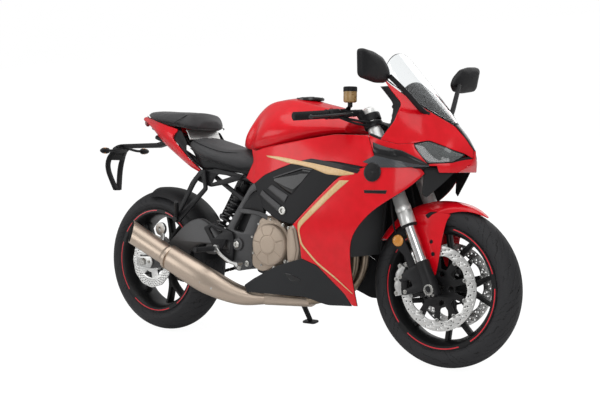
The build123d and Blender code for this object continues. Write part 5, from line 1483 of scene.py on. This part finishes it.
VANES = [
    # name, material, upper edge, lower edge
    ("vane_fin", gloss_black, [(1237, 831), (1295, 812), (1354, 800), (1408, 772), (1440, 750)], FIN_SPLIT),
    ("vane_wedge", carbon, FIN_SPLIT, [(1200, 759), (1271, 739), (1340, 739), (1438, 743)]),
]
for name, material, upper, lower in VANES:
    upper, lower = (edge_line(side, 60, 2) for side in (upper, lower))
    share = linspace(0, 1, 14)[:, None, None]
    xz = upper + (lower - upper) * share
    skin = np.maximum(nose_skin(xz), flank(xz, SIDE_FORM))
    swell = 3 + 5 * sin(pi * share[..., 0]) * (name == "vane_fin")
    piece(name, both_sides(xz, skin + swell), material, wall=4, edge=0.8)
turn = linspace(2 * pi, 0, 49)
reach = linspace(35, 0.5, 10)[:, None]
xz = stack((1244 + reach * cos(turn), 722 + reach * sin(turn)), -1)
skin = np.maximum(nose_skin(xz), flank(xz, SIDE_FORM))
piece("round_blanks", both_sides(xz, skin + 4.5), gloss_black, wall=3)
strip_x = linspace(1466, 1546, 40)
_, _, _, _, top_half, top_z = along(NOSE_FORM, strip_x).T
s = linspace(-1, 1, 17)[:, None]
crown = interp(strip_x, (1466, 1515, 1546), (4, 4, 3))
strip = stack(broadcast_arrays(strip_x, (top_half + 0.5) * s, top_z - 2 + crown * (1 - s**2)), -1)
keel_z = linspace(800, 724, 24)
keel_x = interp(keel_z, (724, 750, 772), (1514, 1539, 1545))
keel_half = flank(stack((keel_x, keel_z), -1), NOSE_FORM) - 1
keel = stack(broadcast_arrays(keel_x + 2 * (1 - s**2), keel_half * s, keel_z), -1)
piece("nose_strip", [strip[::-1]], gloss_black, wall=2)
piece("nose_chin", [keel[::-1]], red_paint, wall=2)
LAMP_EDGES = (
    [(1391, 821), (1432, 833), (1480, 812), (1527, 787)],
    [(1527, 787), (1520, 774), (1506, 762)],
    [(1434, 757), (1470, 758), (1506, 762)],
    [(1391, 821), (1404, 800), (1434, 757)],
)
xz = patch(*LAMP_EDGES, counts=(48, 24), soft=2)
half = flank(xz, NOSE_FORM)
lens = grained(
    "smoked_polycarbonate", "lamp_lens", "#8C9090", 25.0, (0.04, 0.1), Specular_IOR_Level=0.35, IOR=1.58,
    Transmission_Weight=0.75, Coat_Weight=0.6,
)
piece("lamp_lenses", both_sides(xz, half - 0.5), lens, "headlamps", wall=2.5, edge=0.8)
depth = half - 8 - 26 * sin(pi * linspace(0, 1, 24))[:, None] * sin(pi * linspace(0, 1, 48))
piece("lamp_housings", both_sides(xz, np.maximum(depth, 8)), gloss_black, wall=2)
reflector = grained("vapour_coated_bowl", "lamp_lens", "#B4B8B6", 18.0, (0.24, 0.36), Metallic=0.8)
brow_edges = (
    [(1395, 819), (1432, 831), (1480, 810), (1524, 786)], [(1524, 786), (1522, 782)],
    [(1408, 798), (1446, 788), (1490, 782), (1522, 782)], [(1395, 819), (1408, 798)],
)
xz = patch(*brow_edges, counts=(40, 8), soft=2)
piece("lamp_brows", both_sides(xz, nose_skin(xz) - 5), reflector, wall=1)
grids = []
for side in (-1, 1):
    for x, z, radius in ((1424, 800, 15), (1456, 796, 13), (1486, 786, 10)):
        y = flank(array((x, z)), NOSE_FORM) - 22
        bowl = [
            (0.1, 0), (radius * 0.5, 1), (radius * 0.85, 5), (radius, 10), (radius + 1.5, 10),
            (radius * 0.8, 2), (0.1, -2),
        ]
        grids.append(turned(bowl, (x - 6, side * y, z), (0.75, side * 0.65, 0.05), 30))
    brow = [(1400, 812), (1432, 824), (1476, 804), (1516, 785)]
    line = edge_line(brow, 30, 3)
    y = flank(line, NOSE_FORM) - 8
    grids.append(rail(stack((line[:, 0], side * y, line[:, 1]), -1), 3.5, 2, sides=10))
piece("lamp_bowls", grids, reflector)

# The throat and stay: black moulded ducts behind the lip, and a welded tube stay off the steering head.
# The stay carries the lamps, the dash and the screen.
xz = patch(
    [(1408, 742), (1450, 742), (1500, 726)], [(1500, 726), (1470, 690), (1416, 632)],
    [(1402, 644), (1416, 632)], [(1408, 742), (1405, 690), (1402, 644)], counts=(40, 30),
)
half = interp(xz[..., 0], (1330, 1400, 1450, 1500), (150, 128, 92, 58))
piece("nose_throat", both_sides(xz, half), black_plastic, wall=3)
x = linspace(1374, 1505, 30)[:, None]
s = linspace(-1, 1, 31)
width = interp(x, (1374, 1400, 1470, 1505), (138, 132, 84, 56))
floor_sheet = stack(
    broadcast_arrays(x, width * s, interp(x, (1374, 1400, 1505), (738, 736, 742)) - 6 * s**2), -1,
)
rear_edge = edge_line([(1262, 1038), (1322, 972), (1312, 904), (1270, 846)], 30, 6)
outer = nose_skin(rear_edge) - 4
t = linspace(0, 1, 8)
reach = rear_edge[:, :1] - 36 * t
inner_panel = stack(
    (reach, outer[:, None] + (135 - outer[:, None]) * t, np.broadcast_to(rear_edge[:, 1:], reach.shape)), -1,
)
sheets = [inner_panel, inner_panel[::-1] * (1, -1, 1)]
piece("inner_cowls", sheets, black_plastic, wall=2.5)
piece("nose_floor", [floor_sheet], black_plastic, wall=3)
STAY = [(1219.4, 0, 806), (1302, 0, 850), (1318, 0, 941.5), (1292, 0, 967.8)]
grids = [
    rail(edge_line(STAY, 40, 8), 9, sides=18),
    rail(linspace((1302, -182, 850), (1302, 182, 850), 4), 8, deep=(0, 0, 1), sides=18),
]
piece("welded_stay", grids, cast_black, "fairing_stay")
dash_out = array((-0.7, 0, 0.71))
dash_up = array((0.71, 0, 0.7))
corners, faces = cut_plate(
    [rounded([(-86, -40), (-86, 30), (-60, 46), (60, 46), (86, 30), (86, -40), (60, -46), (-60, -46)], 14)],
    24, 4,
)
DASH_AT = array((1275.0, 0, 985))
shell = laid(corners, DASH_AT, (0, 1, 0), dash_up, dash_out)
piece("dash_shell", [(shell, faces)], black_plastic, "instrument_panel")
corners, faces = cut_plate([rounded([(-66, -30), (-66, 32), (66, 32), (66, -30)], 8)], 2, 0.4)
face = laid(corners + (0, 0, 12.4), DASH_AT, (0, 1, 0), dash_up, dash_out)
piece("dash_glass", [(face, faces)], gloss_black)

# The screen: a clear acrylic bubble, heat-formed over a plug and edged by hand.
# A black hood below it covers the lamps and holds the mirror feet.
SCREEN = [
    # x, half, edge z, centre z
    (1226, 152, 1084, 1169),
    (1255, 146, 1060, 1137),
    (1320, 122, 1008, 1066),
    (1400, 78, 948, 978),
    (1472, 8, 896, 898),
]
x = linspace(1226, 1472, 60)[:, None]
half, edge_z, middle_z = (column for column in np.moveaxis(along(SCREEN, x[:, 0]), -1, 0))
s = linspace(-1, 1, 49)
round_top = clip((1262 - x) / 36, 0, 1) * np.abs(s) ** 3 * 18
points = stack(
    broadcast_arrays(
        x + round_top, half[:, None] * s,
        middle_z[:, None] - (middle_z - edge_z)[:, None] * s**2 - round_top * 0.9
    ), -1,
)
clear = grained(
    "clear_acrylic", "clear_screen", "#F4F7F8", 60.0, (0.0, 0.04), IOR=1.49, Transmission_Weight=1.0,
    Specular_IOR_Level=0.5,
)
piece("screen_bubble", [points], clear, "windscreen", wall=3)
x = linspace(1300, 1474, 40)[:, None]
half, edge_z, middle_z = (column for column in np.moveaxis(along(SCREEN, x[:, 0]), -1, 0))
drop = interp(x, (1300, 1330, 1420, 1474), (26, 16, 9, 4))
hood = stack(
    broadcast_arrays(
        x, (half[:, None] - 4) * s, middle_z[:, None] - (middle_z - edge_z)[:, None] * s**2 * 0.8 - drop - 6,
    ),
    -1
)
piece("screen_hood", [hood], black_plastic, wall=3)

# The seats: moulded foam under stretched black vinyl, stapled below and welded along the seams.
# Each foam is swelled by a short cloth simulation, so that its cover pulls tight between the edges.
seat_vinyl, tree, shader = new_material(
    "grained_vinyl", "seat_cover", "#2B2B2D", Roughness=0.55, Sheen_Weight=0.12,
)
place = add_node(tree, "TexCoord")
pebbles = add_node(tree, "TexVoronoi", {"Vector": place.outputs["Object"]}, Scale=420.0)
dent = add_node(tree, "Bump", {"Height": pebbles.outputs["Distance"]}, Strength=0.35, Distance=0.0008)
tree.links.new(dent.outputs["Normal"], shader.inputs["Normal"])
cloud = add_node(tree, "TexNoise", {"Vector": place.outputs["Object"]}, Scale=14.0, Detail=5.0)
ramp = add_node(tree, "ValToRGB", {"Fac": cloud.outputs["Fac"]})
ramp.color_ramp.elements[0].position = 0.3
ramp.color_ramp.elements[1].position = 0.7
ramp.color_ramp.elements[0].color = linear("#262628")
ramp.color_ramp.elements[1].color = linear("#303032")
tree.links.new(ramp.outputs["Color"], shader.inputs["Base Color"])
RIDER_SEAT = [
    # x, low y, low z, mid y, mid z, high y, high z, crown
    (235, 106, 815, 119, 835, 92, 858, 8),
    (320, 122, 766, 148, 805, 108, 832, 8),
    (420, 108, 735, 146, 775, 102, 806, 8),
    (545, 90, 708, 128, 752, 76, 800, 8),
    (612, 78, 716, 100, 745, 60, 784, 8),
]
PILLION_SEAT = [
    (-100, 30, 962, 36, 968, 26, 974, 4),
    (-30, 80, 944, 92, 958, 70, 970, 10),
    (80, 110, 922, 122, 945, 95, 964, 10),
    (180, 112, 908, 125, 930, 100, 958, 10),
    (232, 104, 897, 116, 916, 92, 950, 10),
    (264, 62, 893, 72, 905, 52, 926, 8),
]
VOXEL = 0.005
SWELL = 0.005


def swelled(name, grid, stands_for):
    """A pad: the closed form a little smaller, voxel remeshed, blown up as cloth and capped in reach."""
    centre = grid[0].reshape(-1, 3).mean(0)
    small = (centre + (grid[0] - centre) * 0.985, *grid[1:])
    pad = piece(name, [small], seat_vinyl, stands_for, crease=180)
    remesh = pad.modifiers.new("even_skin", "REMESH")
    remesh.mode = "VOXEL"
    remesh.voxel_size = VOXEL
    bpy.context.view_layer.update()
    graph = bpy.context.evaluated_depsgraph_get()
    pad.data = bpy.data.meshes.new_from_object(pad.evaluated_get(graph))
    pad.modifiers.clear()
    rest = np.zeros(len(pad.data.vertices) * 3)
    pad.data.vertices.foreach_get("co", rest)
    cloth = pad.modifiers.new("blown_foam", "CLOTH")
    cloth.settings.use_pressure = True
    cloth.settings.uniform_pressure_force = 4
    cloth.settings.effector_weights.gravity = 0
    cloth.settings.tension_stiffness = 60
    for step in range(1, 21):
        bpy.context.scene.frame_set(step)
    graph = bpy.context.evaluated_depsgraph_get()
    blown = pad.evaluated_get(graph).to_mesh()
    moved = np.zeros_like(rest)
    blown.vertices.foreach_get("co", moved)
    pad.modifiers.clear()
    bpy.context.scene.frame_set(1)
    shift = (moved - rest).reshape(-1, 3)
    reach = np.linalg.norm(shift, axis=1, keepdims=True)
    shift *= np.minimum(1, SWELL / np.maximum(reach, 1e-9))
    pad.data.vertices.foreach_set("co", rest + shift.ravel())
    pad.data.update()
    pad.data.polygons.foreach_set("use_smooth", np.ones(len(pad.data.polygons), bool))
    smooth = pad.modifiers.new("even_surface", "SMOOTH")
    smooth.factor = 0.5
    smooth.iterations = 4


swelled("rider_pad", body_form(RIDER_SEAT, 60, 20, 24, 2), "rider_seat")
swelled("passenger_pad", body_form(PILLION_SEAT, 60, 16, 24, 2), "pillion_seat")


def seam(table, x, t, proud):
    """Points on both flanks of a form at x and a share t from the low edge to the high one."""
    low_y, low_z, mid_y, mid_z, high_y, high_z = along(table, x)[:, :6].T
    weights = (1 - t) * (1 - 2 * t), 4 * t * (1 - t), t * (2 * t - 1)
    y = low_y * weights[0] + mid_y * weights[1] + high_y * weights[2] + proud
    z = low_z * weights[0] + mid_z * weights[1] + high_z * weights[2]
    return stack((x, y, z), -1)


grids = []
x = linspace(250, 596, 60)
for side in (1, -1):
    grids += [
        rail(seam(RIDER_SEAT, x, 0.2, 0.5) * (1, side, 1), 2.0, sides=10),
        rail(seam(RIDER_SEAT, x, 0.9, -0.5) * (1, side, 1), 1.4, sides=10),
    ]
    rear = linspace(-84, 256, 60)
    grids.append(rail(seam(PILLION_SEAT, rear, 0.25, 0.5) * (1, side, 1), 2.0, sides=10))
across = linspace(0.25, 1, 16)
flank_line = stack([seam(PILLION_SEAT, array([140.0 + 66 * t]), t, 0.6)[0] for t in across])
s = linspace(1, -1, 20)[1:-1]
top_line = stack((206 + 8 * (1 - s**2), flank_line[-1, 1] * s, flank_line[-1, 2] + 10 * (1 - s**2)), -1)
route = concatenate((flank_line, top_line, flank_line[::-1] * (1, -1, 1)))
grids.append(rail(route, 1.6, sides=10, deep=(1, 0, 0)))
piece("seat_piping", grids, seal_rubber)
xz = patch(
    [(200, 866), (240, 824), (320, 780), (420, 750), (545, 728), (590, 732)], [(590, 732), (600, 700)],
    [(325, 720), (400, 726), (480, 716), (560, 704), (600, 700)], [(200, 866), (325, 720)], counts=(40, 8),
    soft=2,
)
base = both_sides(xz, interp(xz[..., 0], (200, 240, 325, 560, 600), (100, 108, 122, 112, 100)))
piece("seat_base", base, black_plastic, wall=3)
t = linspace(0, 1, 12)[:, None]
s = linspace(-1, 1, 25)
divider = stack(broadcast_arrays(228 - 22 * t, 100 * s, 852 + 44 * t), -1)
piece("seat_divider", [divider], caliper_silver, wall=3)
post = [(0.1, 888.6), (16, 888.6), (16, 894), (14, 896), (14, 930), (0.1, 930)]
piece("passenger_seat_post", [turned(post, (60, 0, 0), (0, 0, 1), 28)], black_plastic)

# The tail: two painted blades that meet at the tip, with black moulded inner panels and an undertray.
# A red lens closes the gap at the back.
TAIL_FORM = [
    # x, low y, low z, mid y, mid z, high y, high z
    (-146, 10, 944, 14, 950, 12, 956),
    (-40, 60, 904, 74, 922, 68, 938),
    (60, 90, 840, 118, 880, 112, 918),
    (160, 110, 785, 138, 840, 124, 900),
    (250, 120, 735, 144, 780, 136, 822),
    (334, 124, 700, 142, 722, 138, 742),
]


def tail_half(xz):
    """Half width of the tail at (x, z), with z held between the form's low and high edges."""
    columns = along(TAIL_FORM, xz[..., 0])
    held = clip(xz[..., 1], columns[..., 1], columns[..., 5])
    return flank(stack((xz[..., 0], held), -1), TAIL_FORM)


xz = patch(
    [(-146, 957), (-116, 961), (-56, 952), (60, 926), (180, 896), (160, 858), (254, 774), (332, 712)],
    [(332, 712), (333, 708), (334, 703)],
    [(-146, 946), (-90, 926), (-29, 904), (52, 846), (160, 786), (257, 732), (334, 703)],
    [(-146, 957), (-146, 952), (-146, 946)], counts=(90, 30), soft=2,
)
piece("tail_blades", both_sides(xz, tail_half(xz)), red_paint, "tail_cowl", wall=4, edge=1.2)
xz = patch(
    [(178, 893), (200, 888), (236, 836), (244, 800), (322, 728)], [(322, 728), (326, 722), (329, 714)],
    [(160, 860), (254, 776), (329, 714)], [(178, 893), (168, 876), (160, 860)], counts=(60, 20), soft=2,
)
piece("tail_inner_panels", both_sides(xz, tail_half(xz) - 5), black_plastic, wall=3, edge=1)
UNDERTRAY = [(-60, 918), (160, 856), (330, 740), (330, 728), (150, 838), (-60, 902)]
piece("moulded_undertray", [side_plate([rounded(UNDERTRAY, 6)], 0, 96, 3)], black_plastic, "tail_undertray")
tail_red = grained(
    "red_lens", "lamp_lens", "#8E0E14", 6.0, (0.08, 0.2), bump=0.1, Coat_Weight=0.8, Transmission_Weight=0.3,
)
bar = through([(-88, -44, 924), (-112, -28, 934), (-120, 0, 937), (-112, 28, 934), (-88, 44, 924)], 40)
piece("tail_lamp", [rail(bar, 8, 9, deep=(0, 0, 1), power=3, sides=20)], tail_red)

# The plate hanger: a black moulded arm out behind the tail, with a lamp, turn signals and an open bracket.
# The bracket's two legs are bent from flat bar and meet at the foot.
ARM = [(40, 865), (-60, 842), (-290, 838), (-292, 818), (-60, 820), (40, 844)]
grids = [side_plate([rounded(ARM, 8)], 0, 40, 4)]
for side in (-1, 1):
    leg = array([(-318, 34, 806), (-350, 42, 764), (-358, 36, 712), (-338, 10, 626)])
    grids.append(rail(through(leg * (1, side, 1), 30), 15, 6, deep=(-0.9, 0, -0.3), power=3, sides=16))
    stalk = through([(-285, side * 16, 818), (-287, side * 70, 808), (-285, side * 104, 806)], 12)
    grids.append(rail(stalk, linspace(9, 6, 12), 6, deep=(0, 0, 1), sides=14))
    signal = [(0.1, 0), (8, 0), (13, 8), (14, 22), (12, 40), (7, 50), (0.1, 51)]
    grids.append(turned(signal, (-285, side * 99, 806), (0, side, 0), 24))
grids.append(rail(linspace((-338, -14, 626), (-338, 14, 626), 4), 8, 6, deep=(0, 0, 1), power=3, sides=14))
lamp_pod = through([(-284, 0, 826), (-304, 0, 822), (-326, 0, 812)], 14)
block = through([(-296, 0, 822), (-330, 0, 800), (-350, 0, 768)], 14)
grids += [
    rail(block, linspace(44, 50, 14), 11, deep=(0.7, 0, 0.7), power=4, sides=28),
    rail(lamp_pod, 40, 12, deep=(0.3, 0, 1), power=3.5, sides=28),
]
piece("hanger_arm", grids, black_plastic, "plate_hanger")
lenses = []
for side in (-1, 1):
    glow = [(0.1, 10), (12.5, 10), (14.6, 14), (14.6, 30), (12.5, 38), (0.1, 38)]
    lenses.append(turned(glow, (-287, side * 99, 806), (0, side, 0), 24))
piece("rear_signals", lenses, amber)

# The handlebars: two clip-on tubes clamped under the upper ends of the fork legs.
# Painted black, with ribbed rubber grips and turned end weights.
BAR_ROOT = array((1140.0, 130, 945))
BAR_END = array((1012.0, 385, 922))
bars = []
grips = []
boxes = []
levers = []
for side in (-1, 1):
    flip = array((1, side, 1))
    root, end = BAR_ROOT * flip, BAR_END * flip
    run = end - root
    reach = np.linalg.norm(run)
    bars += [
        rail(linspace(root, root + run * 0.985, 6), 11, deep=(0, 0, 1), sides=24),
        turned(
            [(27.3, 664), (36, 664), (37, 667), (37, 689), (36, 692), (27.3, 692), (27.3, 664)],
            on_fork(0, 0, side * LEG_Y), FORK_UP, 40,
        ),
        rail(
            linspace(on_fork(678, -20, side * 122), root + run * 0.04, 6), 14, 15, deep=(0, 0, 1), power=3,
            sides=20,
        ),
    ]
    weight = [
        (0.1, reach), (12, reach), (15, reach + 1.5), (15, reach + 6), (12, reach + 8), (0.1, reach + 8),
    ]
    profile = [(11.3, 0.52 * reach), (19, 0.52 * reach), (19, 0.535 * reach), (16, 0.545 * reach)]
    for rib in linspace(0.56, 0.97, 22) * reach:
        profile += [(16, rib), (14.6, rib + 1.6), (14.6, rib + 3.0), (16, rib + 4.4)]
    profile += [(16, 0.993 * reach), (11.3, 0.997 * reach)]
    grips.append(turned(profile, root, run, 32))
    bars.append(turned(weight, root - run / reach * 7, run, 28))
    box = linspace(root + run * 0.34, root + run * 0.5, 10)
    swell = array((17, 20, 22, 22, 22, 22, 22, 22, 20, 16))
    boxes.append(rail(box, swell, swell * 0.86, deep=(0, 0, 1), power=4, sides=28))
    perch = linspace(root + run * 0.22, root + run * 0.31, 8)
    boxes.append(rail(perch, 17, 17, deep=(0, 0, 1), power=4, sides=24))
    pump = linspace(root + run * 0.16 + (22, 0, -1), root + run * 0.34 + (26, 0, -1), 8)
    boxes.append(rail(pump, 11, 13, deep=(0, 0, 1), power=3, sides=20))
    start = root + run * 0.265 + (19, side * 8, -2)
    tip = root + run * 0.93 + (58, 0, -4)
    bend = through([start, start + (26, side * 14, 0), (start + tip) / 2 + (14, 0, 0), tip], 40)
    levers += [
        rail(bend, linspace(7, 5, 40), linspace(5, 4, 40), deep=(0, 0, 1), power=2.6, sides=16),
        turned([(0.1, -8), (6, -6), (8.5, 0), (6, 6), (0.1, 8)], tip, (0, 1, 0), 20),
    ]
piece("clip_on_bars", bars, cast_black, "handlebars", body="steering")
piece("ribbed_grips", grips, seal_rubber, "grips", body="steering")
piece("switch_boxes", boxes, black_plastic, "bar_controls", body="steering")
piece("hand_levers", levers, satin_black, body="steering")
buttons = []
for side in (-1, 1):
    spot = (BAR_ROOT + (BAR_END - BAR_ROOT) * 0.42) * (1, side, 1)
    buttons.append(turned([(0.1, 18), (8, 18), (8, 23), (6.5, 25), (0.1, 25)], spot, (-0.55, 0, 0.83), 20))
switch_red = grained("red_moulded_button", "black_plastic", "#B8141C", 2.0, (0.34, 0.46))
piece("stop_button", buttons[:1], switch_red, body="steering")
piece("signal_button", buttons[1:], grey_plastic, body="steering")

cables = []
for side in (-1, 1):
    for spread in (0, 12):
        route = [
            (1092, 224, 926), (1150, 172, 912 - spread), (1210, 106 - spread, 900 - spread), (1228, 52, 872),
            (1224, 20, 836),
        ]
        cables.append(rail(through(array(route) * (1, side, 1), 40), 4.5, sides=12))
piece("control_cables", cables, seal_rubber, body="steering")

# The brake fluid cup: a translucent moulded pot with a ribbed black lid, on a small bent shelf.
# The fluid inside shows through brown.
CUP_AT = array((1137.0, -204, 978))
cup_plastic = grained(
    "translucent_cup", "reservoir_cup", "#A8834E", 12.0, (0.24, 0.36), tint=("#8E6A38", "#C0A070"),
    Transmission_Weight=0.25,
)
cup = [(0.1, 0), (20, 0), (24, 3), (25, 6), (25, 40), (0.1, 40)]
piece("fluid_cup", [turned(cup, CUP_AT, (0, 0, 1), 40)], cup_plastic, "brake_reservoir", body="steering")
lid_angle = linspace(0, 2 * pi, 96, endpoint=False)
ridged = 25.2 + 0.7 * np.sign(cos(24 * lid_angle))
profile = array([(0.0, 40), (1, 40), (1, 55), (0.93, 58), (0.6, 58), (0.5, 57), (0.0, 57)])
lid = stack(
    (
        CUP_AT[0] + profile[:, :1] * ridged * cos(lid_angle),
        CUP_AT[1] + profile[:, :1] * ridged * sin(lid_angle),
        CUP_AT[2] + np.broadcast_to(profile[:, 1:], (7, 96)),
    ), -1,
)
shelf = through([(1120, -190, 952), (1126, -199, 958), (1137, -204, 963)], 10)
grids = [
    (lid, False, True), turned(plain_pin(9, -16, 0), CUP_AT, (0, 0, 1), 20),
    rail(shelf, 9, 3, deep=(0, 0, 1), power=3, sides=14),
]
piece("cup_lid", grids, black_plastic, body="steering")

# The mirrors: leaf-shaped moulded shells on bent stalks, screwed to the nose beside the screen.
# Each holds a silvered glass on its rear face.
MIRROR_LEAF = [
    (-126, -38), (-110, -8), (-64, 26), (0, 42), (60, 47), (84, 40), (68, -44), (50, -54), (-40, -66),
    (-100, -62),
]
SHELL_LAYERS = [
    (0.02, 15), (0.55, 14), (0.84, 9), (0.96, 2), (1.0, -7), (0.99, -13), (0.95, -15), (0.92, -13.5),
    (0.02, -13.5),
]
mirror_shells = []
glasses = []
lean_out = array((0.1, 0, 1)) / np.hypot(0.1, 1)
ahead_out = array((1, 0, -0.1)) / np.hypot(0.1, 1)
for side in (-1, 1):
    leaf = rounded(MIRROR_LEAF, 14, 6)
    middle = array((1330.0, side * 350, 1100))
    layers = []
    for share, depth in SHELL_LAYERS:
        flat = leaf * share
        layers.append(middle + flat[:, :1] * array((0, side, 0)) + flat[:, 1:] * lean_out + depth * ahead_out)
    mirror_shells.append((stack(layers), False, True))
    corners, faces = cut_plate([leaf * 0.91], 1.2, 0.3)
    glasses.append((laid(corners - (0, 0, 13.9), middle, (0, side, 0), lean_out, ahead_out), faces))
    stalk = through(
        [(1392, side * 92, 937), (1384, side * 124, 958), (1362, side * 190, 1014), (1340, side * 252, 1062)],
        30,
    )
    mirror_shells.append(rail(stalk, linspace(9.5, 8, 30), linspace(11, 9, 30), deep=(1, 0, 0.3), sides=20))
    foot = array([(1360, 98, 950), (1384, 92, 941), (1406, 84, 933)]) * (1, side, 1)
    mirror_shells.append(rail(
        through(foot, 14), interp(linspace(0, 1, 14), (0, 0.5, 1), (6, 14, 6)), 8,
        deep=(0.5, side * 0.5, 0.7), sides=18,
    ))
piece("mirror_shells", mirror_shells, black_plastic, "mirrors", crease=50)
silvered = grained("silvered_glass", "lamp_lens", "#DDE1E4", 80.0, (0.02, 0.06), Metallic=1.0)
piece("mirror_glass", glasses, silvered)

# The rear brake: a small caliper on the arm, and a forged pedal by the right footrest.
# Both are silver; the pedal turns on a short pin and ends in a toe peg.
grids = []
for y in (-114, -88):
    inner = [polar(rear_hub_xz, 84, radians(a)) for a in linspace(58, 22, 10)]
    outer = [polar(rear_hub_xz, 130, radians(a)) for a in linspace(22, 58, 14)]
    grids.append(side_plate([rounded(inner + outer, 4, 3)], y, 15, 3))
bridge = [polar(rear_hub_xz, 121, radians(a)) for a in linspace(56, 24, 8)]
bridge += [polar(rear_hub_xz, 129, radians(a)) for a in linspace(24, 56, 8)]
grids.append(side_plate([bridge], -101, 20, 1))
piece("rear_caliper_halves", grids, caliper_silver, "rear_caliper")
pedal = through([(470, -196, 402), (500, -204, 378), (560, -214, 352), (612, -222, 346)], 30)
grids = [
    rail(pedal, linspace(8, 6, 30), linspace(5, 4, 30), power=3, sides=16),
    turned(plain_pin(8, -16, 16), (614, -222, 346), (0, 1, 0), 18),
    turned(plain_pin(14, -6, 6), (468, -195, 402), (0, 1, 0), 24),
]
piece("brake_pedal", grids, caliper_silver)

# The stage: a white studio floor that keeps a soft shadow, and large soft lamps.
# The camera stands where the photograph was taken from, fitted to both wheels.
CAMERA_AT = array((3322.08, -3356.85, 740.38))
CAMERA_TURN = radians((37.449, 1.860, 0.465))
FOCAL_PIXELS = 1034.24
FRAME_PIXELS = 600


def seen_directly(tree):
    """One where the camera looks, also through glass, and nought for all other light."""
    path = add_node(tree, "LightPath")
    links = {0: path.outputs["Is Camera Ray"], 1: path.outputs["Is Transmission Ray"]}
    return add_node(tree, "Math", links, operation="MAXIMUM").outputs[0]


WHITE = linear("#FFFFFF")
world = bpy.data.worlds.new("studio")
bpy.context.scene.world = world
world.use_nodes = True
tree = world.node_tree
tree.nodes.clear()
glow = add_node(tree, "Background", Color=WHITE, Strength=0.42)
white = add_node(tree, "Background", Color=WHITE, Strength=1.0)
mixed = add_node(tree, "MixShader", {0: seen_directly(tree), 1: glow.outputs[0], 2: white.outputs[0]})
add_node(tree, "OutputWorld", {"Surface": mixed.outputs[0]})

floor_mesh = bpy.data.meshes.new("floor")
floor_mesh.from_pydata([(-60, -60, 0), (60, -60, 0), (60, 60, 0), (-60, 60, 0)], [], [(0, 1, 2, 3)])
floor = bpy.data.objects.new("floor", floor_mesh)
bpy.context.scene.collection.objects.link(floor)
floor_white = bpy.data.materials.new("floor_white")
floor_white.use_nodes = True
tree = floor_white.node_tree
tree.nodes.clear()
plain = add_node(tree, "BsdfDiffuse", Color=linear("#E4E4E4"))
faint = add_node(tree, "BsdfDiffuse", Color=linear("#6E6E6E"))
glow = add_node(tree, "Emission", Color=WHITE, Strength=0.95)
bright = add_node(tree, "AddShader", {0: faint.outputs[0], 1: glow.outputs[0]})
mixed = add_node(tree, "MixShader", {0: seen_directly(tree), 1: plain.outputs[0], 2: bright.outputs[0]})
add_node(tree, "OutputMaterial", {"Surface": mixed.outputs[0]})
floor_mesh.materials.append(floor_white)
floor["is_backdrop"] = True

LAMPS = [
    # name, place in metres on the parked machine, size in metres, watts
    ("overhead", (0.3, -0.6, 4.2), (5.0, 4.0), 105),
    ("right_front", (3.4, -4.0, 2.2), (3.0, 2.4), 55),
    ("right_rear", (-3.4, -3.6, 1.9), (3.0, 2.2), 42),
    ("left_side", (0.5, 4.6, 2.4), (4.0, 2.4), 45),
]
AIM = array((0.0, 0.0, 0.55))
for name, place, size, watts in LAMPS:
    data = bpy.data.lights.new(name, "AREA")
    data.shape = "RECTANGLE"
    data.size, data.size_y = size
    data.energy = watts
    lamp = bpy.data.objects.new(name, data)
    back = array(place) - AIM
    back /= np.linalg.norm(back)
    right = np.cross((0.0, 0.0, 1.0), back) if abs(back[2]) < 0.99 else array((1.0, 0.0, 0.0))
    right /= np.linalg.norm(right)
    turn = np.eye(4)
    turn[:3, :4] = stack((right, np.cross(back, right), back, array(place)), -1)
    lamp.matrix_world = Matrix(turn)
    bpy.context.scene.collection.objects.link(lamp)

azimuth, elevation, roll = CAMERA_TURN
back = array((sin(azimuth) * cos(elevation), -cos(azimuth) * cos(elevation), sin(elevation)))
level = np.cross(-back, (0, 0, 1))
level /= np.linalg.norm(level)
upright = np.cross(level, -back)
right = cos(roll) * level + sin(roll) * upright
above = -sin(roll) * level + cos(roll) * upright
data = bpy.data.cameras.new("photo_camera")
data.sensor_width = 36
data.lens = FOCAL_PIXELS / FRAME_PIXELS * data.sensor_width
camera = bpy.data.objects.new("photo_camera", data)
stand = np.eye(4)
stand[:3, :3] = (stack((right, above, back)) @ MACHINE).T
stand[:3, 3] = parked(CAMERA_AT)
camera.matrix_world = Matrix(stand)
bpy.context.scene.collection.objects.link(camera)
bpy.context.scene.camera = camera
bpy.context.scene.view_settings.view_transform = "Standard"

boxes = {"cad": cad_box, "visual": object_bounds()}
